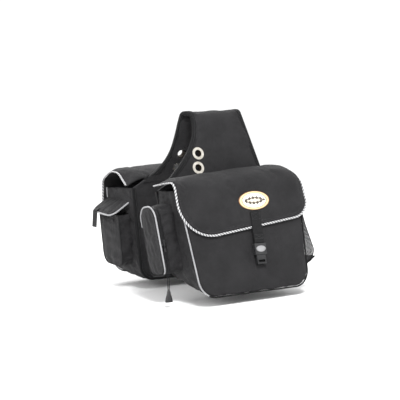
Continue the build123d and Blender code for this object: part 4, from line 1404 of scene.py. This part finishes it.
def make_grip():
    """Moulded pull with a flared foot and grooves across it."""
    low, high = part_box("near_grip")
    centre = (low + high) / 2
    height = high.z - low.z
    rows = []
    for k in np.linspace(0, 1, 40):
        ease_k = ease(k)
        half_x = (3.4 + 5.0 * ease_k) * (1 if k < 0.97 else 0.9)
        half_y = 2.4 + 1.3 * ease_k
        groove = 0.35 * max(0.0, math.sin((k - 0.2) * 6 * 2 * math.pi)) if 0.2 < k < 0.87 else 0
        if k < 0.04:
            half_x, half_y = half_x * 0.8, half_y * 0.8
        ring = []
        for a in np.arange(28) * 2 * math.pi / 28:
            c, s = math.cos(a), math.sin(a)
            ring.append((centre.x + (half_x - groove) * np.sign(c) * abs(c) ** 0.55 * MM,
                         centre.y + (half_y - groove) * np.sign(s) * abs(s) ** 0.55 * MM,
                         high.z - k * height))
        rows.append(ring)
    verts = np.array(rows).reshape(-1, 3)
    faces = []
    for i in range(39):
        for j in range(28):
            m = (j + 1) % 28
            faces.append((i * 28 + j, i * 28 + m, (i + 1) * 28 + m, (i + 1) * 28 + j))
    faces.append(tuple(range(28)))
    faces.append(tuple(39 * 28 + j for j in range(28))[::-1])
    piece = mesh_object("near_pull_grip", verts, faces, verts[:, [0, 2]], M["rubber"])
    outward(piece)
    return piece


def make_seam(bag):
    """The cloth that joins the yoke's foot to the bag's band, inside and outside the seam."""
    side = BAGS[bag]["side"]
    low = -DROP + 7.5
    y = RIDGE + (SEAM_Y - RIDGE) * -low / DROP
    normal = np.array([math.cos(LEG), math.sin(LEG)])
    made = []
    for name, lift, depth in (("in", -0.5, -0.5), ("out", 8.6, 8.6)):
        top = np.array([0, side * (y + normal[0] * lift), low + normal[1] * lift]) * MM
        foot = to_row(bag, 0, depth, -7.0)
        k = np.linspace(0, 1, 9)[None, :, None]
        x_top = np.linspace(-107, 121, 60) * MM
        x_low = np.linspace(-126, 131, 60) * MM
        x = x_top[:, None] * (1 - k[..., 0]) + x_low[:, None] * k[..., 0]
        line = top * (1 - k) + foot * k
        grid = np.stack([x, line[..., 1] + 0 * x, line[..., 2] + 0 * x], -1)
        thick = np.array([0, side * 0.6, 0.1]) * MM
        piece = pad(f"{bag}_seam_{name}", grid + thick, grid - thick, M["nylon"])
        subdivide(piece)
        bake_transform(piece)
        made.append(piece)
    return made


# ---- Building and riding ----
def place_all():
    yoke = make_yoke()
    tapes = [u_tape("yoke_tape_left", -1), u_tape("yoke_tape_right", 1)]
    bags = {}
    for bag in BAGS:
        bags[bag] = dict(gusset=make_gusset(bag), front=make_front(bag), back=make_back(bag),
                         flap=make_flap(bag))
    zip_made = make_zip_pocket()
    pocket = make_flap_pocket()
    run_cloth()
    clear_holes(yoke)
    ripples(yoke, 0.8, 44, 3, (1, 1.4, 0.8))

    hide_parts("yoke_outer", "yoke_foam", "yoke_lining")
    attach(yoke, "yoke")
    for piece, rows in tapes:
        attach(piece, "yoke")
        sewn = join(f"{piece.name}_stitches", rows)
        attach(sewn, "yoke")
    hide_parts("yoke_binding")

    for bag in BAGS:
        made = bags[bag]
        body, flap_body = f"{bag}_bag", f"{bag}_flap"
        seed = 11 if bag == "near" else 23
        ripples(made["gusset"], 1.3, 24, seed, (0.4, 0.7, 1.5))
        ripples(made["front"], 0.5, 40, seed + 1)
        ripples(made["flap"][0], 0.45, 60, seed + 2)
        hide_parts(f"{bag}_gusset")
        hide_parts(f"{bag}_front_panel")
        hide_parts(f"{bag}_back_panel", f"{bag}_back_foam")
        for key, fill in (("gusset", 0.3), ("front", 0.5), ("back", 0.5)):
            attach(made[key], body)
        lining = make_lining(bag)
        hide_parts(f"{bag}_lining")
        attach(lining, body)
        # The piping's dark run is painted shade on the same grey piping.
        welt, painted_shade_welt = make_front_piping(bag)
        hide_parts(f"{bag}_front_piping")
        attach(welt, body)
        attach(painted_shade_welt, body)
        edge, row = make_back_binding(bag)
        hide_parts(f"{bag}_back_binding")
        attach(edge, body)
        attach(row, body)
        for piece in make_seam(bag):
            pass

        cloth, rope, rows = made["flap"]
        sewn = join(f"{bag}_flap_stitches", rows)
        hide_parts(f"{bag}_flap")
        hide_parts(f"{bag}_flap_rope")
        for piece in (cloth, rope, sewn):
            blend_flap(piece)
        badge, rim = make_badge(bag)
        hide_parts(f"{bag}_badge")
        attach(badge, flap_body)
        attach(rim, flap_body)

        strap, fold, sewn, bar, anchor = make_strap(bag)
        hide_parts(f"{bag}_strap")
        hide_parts(f"{bag}_anchor_webbing")
        for piece in (strap, fold, sewn, bar):
            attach(piece, f"{bag}_strap")
        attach(anchor, body)
        net, hem, trim, base = make_mesh_pocket(bag)
        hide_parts(f"{bag}_mesh_pocket")
        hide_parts(f"{bag}_mesh_hem")
        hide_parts(f"{bag}_mesh_trim")
        for piece in (net, hem, trim, base):
            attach(piece, body)

    for key, piece in zip_made.items():
        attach(piece, "near_bag")
    for key, amount in (("wall", 1.3), ("panel", 0.9), ("foot", 0.3)):
        ripples(zip_made[key], amount, 20, 41, (1, 1, 1.5))
    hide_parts("near_zip_gusset")
    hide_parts("near_zip_tape")
    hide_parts("near_zip_chain")
    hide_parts("near_zip_panel")
    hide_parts("near_zip_piping")

    for key in ("wall", "front", "edge", "hook"):
        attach(pocket[key], "far_bag")
    for key in ("flap", "welt", "painted_shade_welt", "stitch", "loop", "tab"):
        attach(pocket[key], "pocket_flap")
    for key, amount in (("wall", 1.2), ("front", 1.3), ("flap", 0.7)):
        ripples(pocket[key], amount, 24, 47, (1, 1, 1.4))
    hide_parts("far_pocket_body")
    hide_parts("far_pocket_flap")
    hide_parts("far_pocket_piping")
    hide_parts("far_loop_patch")
    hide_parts("far_hook_patch")
    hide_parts("far_pull_tab")

    grip = make_grip()
    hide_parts("near_grip")
    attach(grip, "pull_cord")
    for name, side in (("left", 1), ("right", -1)):
        piece, exit_point = strand(f"near_strand_{name}", side)
        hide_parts(f"near_cord_{name}")
        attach(piece, "pull_cord")


def finish_nodes():
    """Materials for the CAD nodes that stay in sight."""
    looks = {"grommets": "nickel", "grommet_washers": "nickel", "near_buckle_emblem": "emblem",
             "far_buckle_emblem": "emblem", "near_zip_slider": "metal", "near_zip_puller": "metal"}
    for bag in BAGS:
        for name in ("buckle_socket", "buckle_tongue", "buckle_prongs"):
            looks[f"{bag}_{name}"] = "plastic"
    for name, look in looks.items():
        obj = NODES[name]
        obj.data.materials.clear()
        obj.data.materials.append(M[look])


# ---- Floor, lights and camera ----
def area_light(name, place, target, size, power, color=(1, 1, 1)):
    lamp = bpy.data.lights.new(name, "AREA")
    lamp.shape = "DISK"
    lamp.size = size
    lamp.energy = power
    lamp.color = color
    obj = bpy.data.objects.new(name, lamp)
    bpy.context.scene.collection.objects.link(obj)
    obj.location = place
    obj.rotation_mode = "QUATERNION"
    obj.rotation_quaternion = (Vector(target) - Vector(place)).to_track_quat("-Z", "Y")
    return obj


def make_stage():
    bpy.context.scene.view_settings.view_transform = "Standard"
    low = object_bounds()[0].z - 0.012
    mesh = bpy.data.meshes.new("floor")
    b = bmesh.new()
    bmesh.ops.create_grid(b, x_segments=2, y_segments=2, size=9.0)
    b.to_mesh(mesh)
    b.free()
    floor = bpy.data.objects.new("floor", mesh)
    floor.location = (0, 0, low)
    mesh.materials.append(new_material("pale_floor", (0.93, 0.93, 0.93), 0.9, specular=0.0)[0])
    bpy.context.scene.collection.objects.link(floor)
    world = bpy.data.worlds.new("studio")
    bpy.context.scene.world = world
    world.use_nodes = True
    world.node_tree.nodes["Background"].inputs["Color"].default_value = (1, 1, 1, 1)
    world.node_tree.nodes["Background"].inputs["Strength"].default_value = 1.1
    aim = (0, 0, -0.2)
    area_light("key", (-0.5, -1.7, 1.9), aim, 0.8, 80)
    area_light("fill", (-2.1, -0.6, 0.7), aim, 1.2, 16)
    area_light("back", (0.4, 1.7, 1.4), aim, 1.3, 26)


def make_camera():
    camera = bpy.data.cameras.new("camera")
    obj = bpy.data.objects.new("camera", camera)
    bpy.context.scene.collection.objects.link(obj)
    azimuth, elevation, roll = math.radians(-29.9), math.radians(5.62), math.radians(-1.8)
    distance = 2.528
    target = Vector((0, 0, -0.192))
    back = Vector((math.sin(azimuth) * math.cos(elevation), -math.cos(azimuth) * math.cos(elevation),
                   math.sin(elevation)))
    obj.location = target + back * distance
    obj.rotation_mode = "QUATERNION"
    turn = (-back).to_track_quat("-Z", "Y")
    obj.rotation_quaternion = Quaternion(back, roll) @ turn
    camera.sensor_width = 36
    camera.lens = 100.35
    camera.shift_x = -0.0075
    camera.shift_y = -0.00175
    camera.clip_end = 40
    bpy.context.scene.camera = obj


place_all()
finish_nodes()
make_stage()
make_camera()
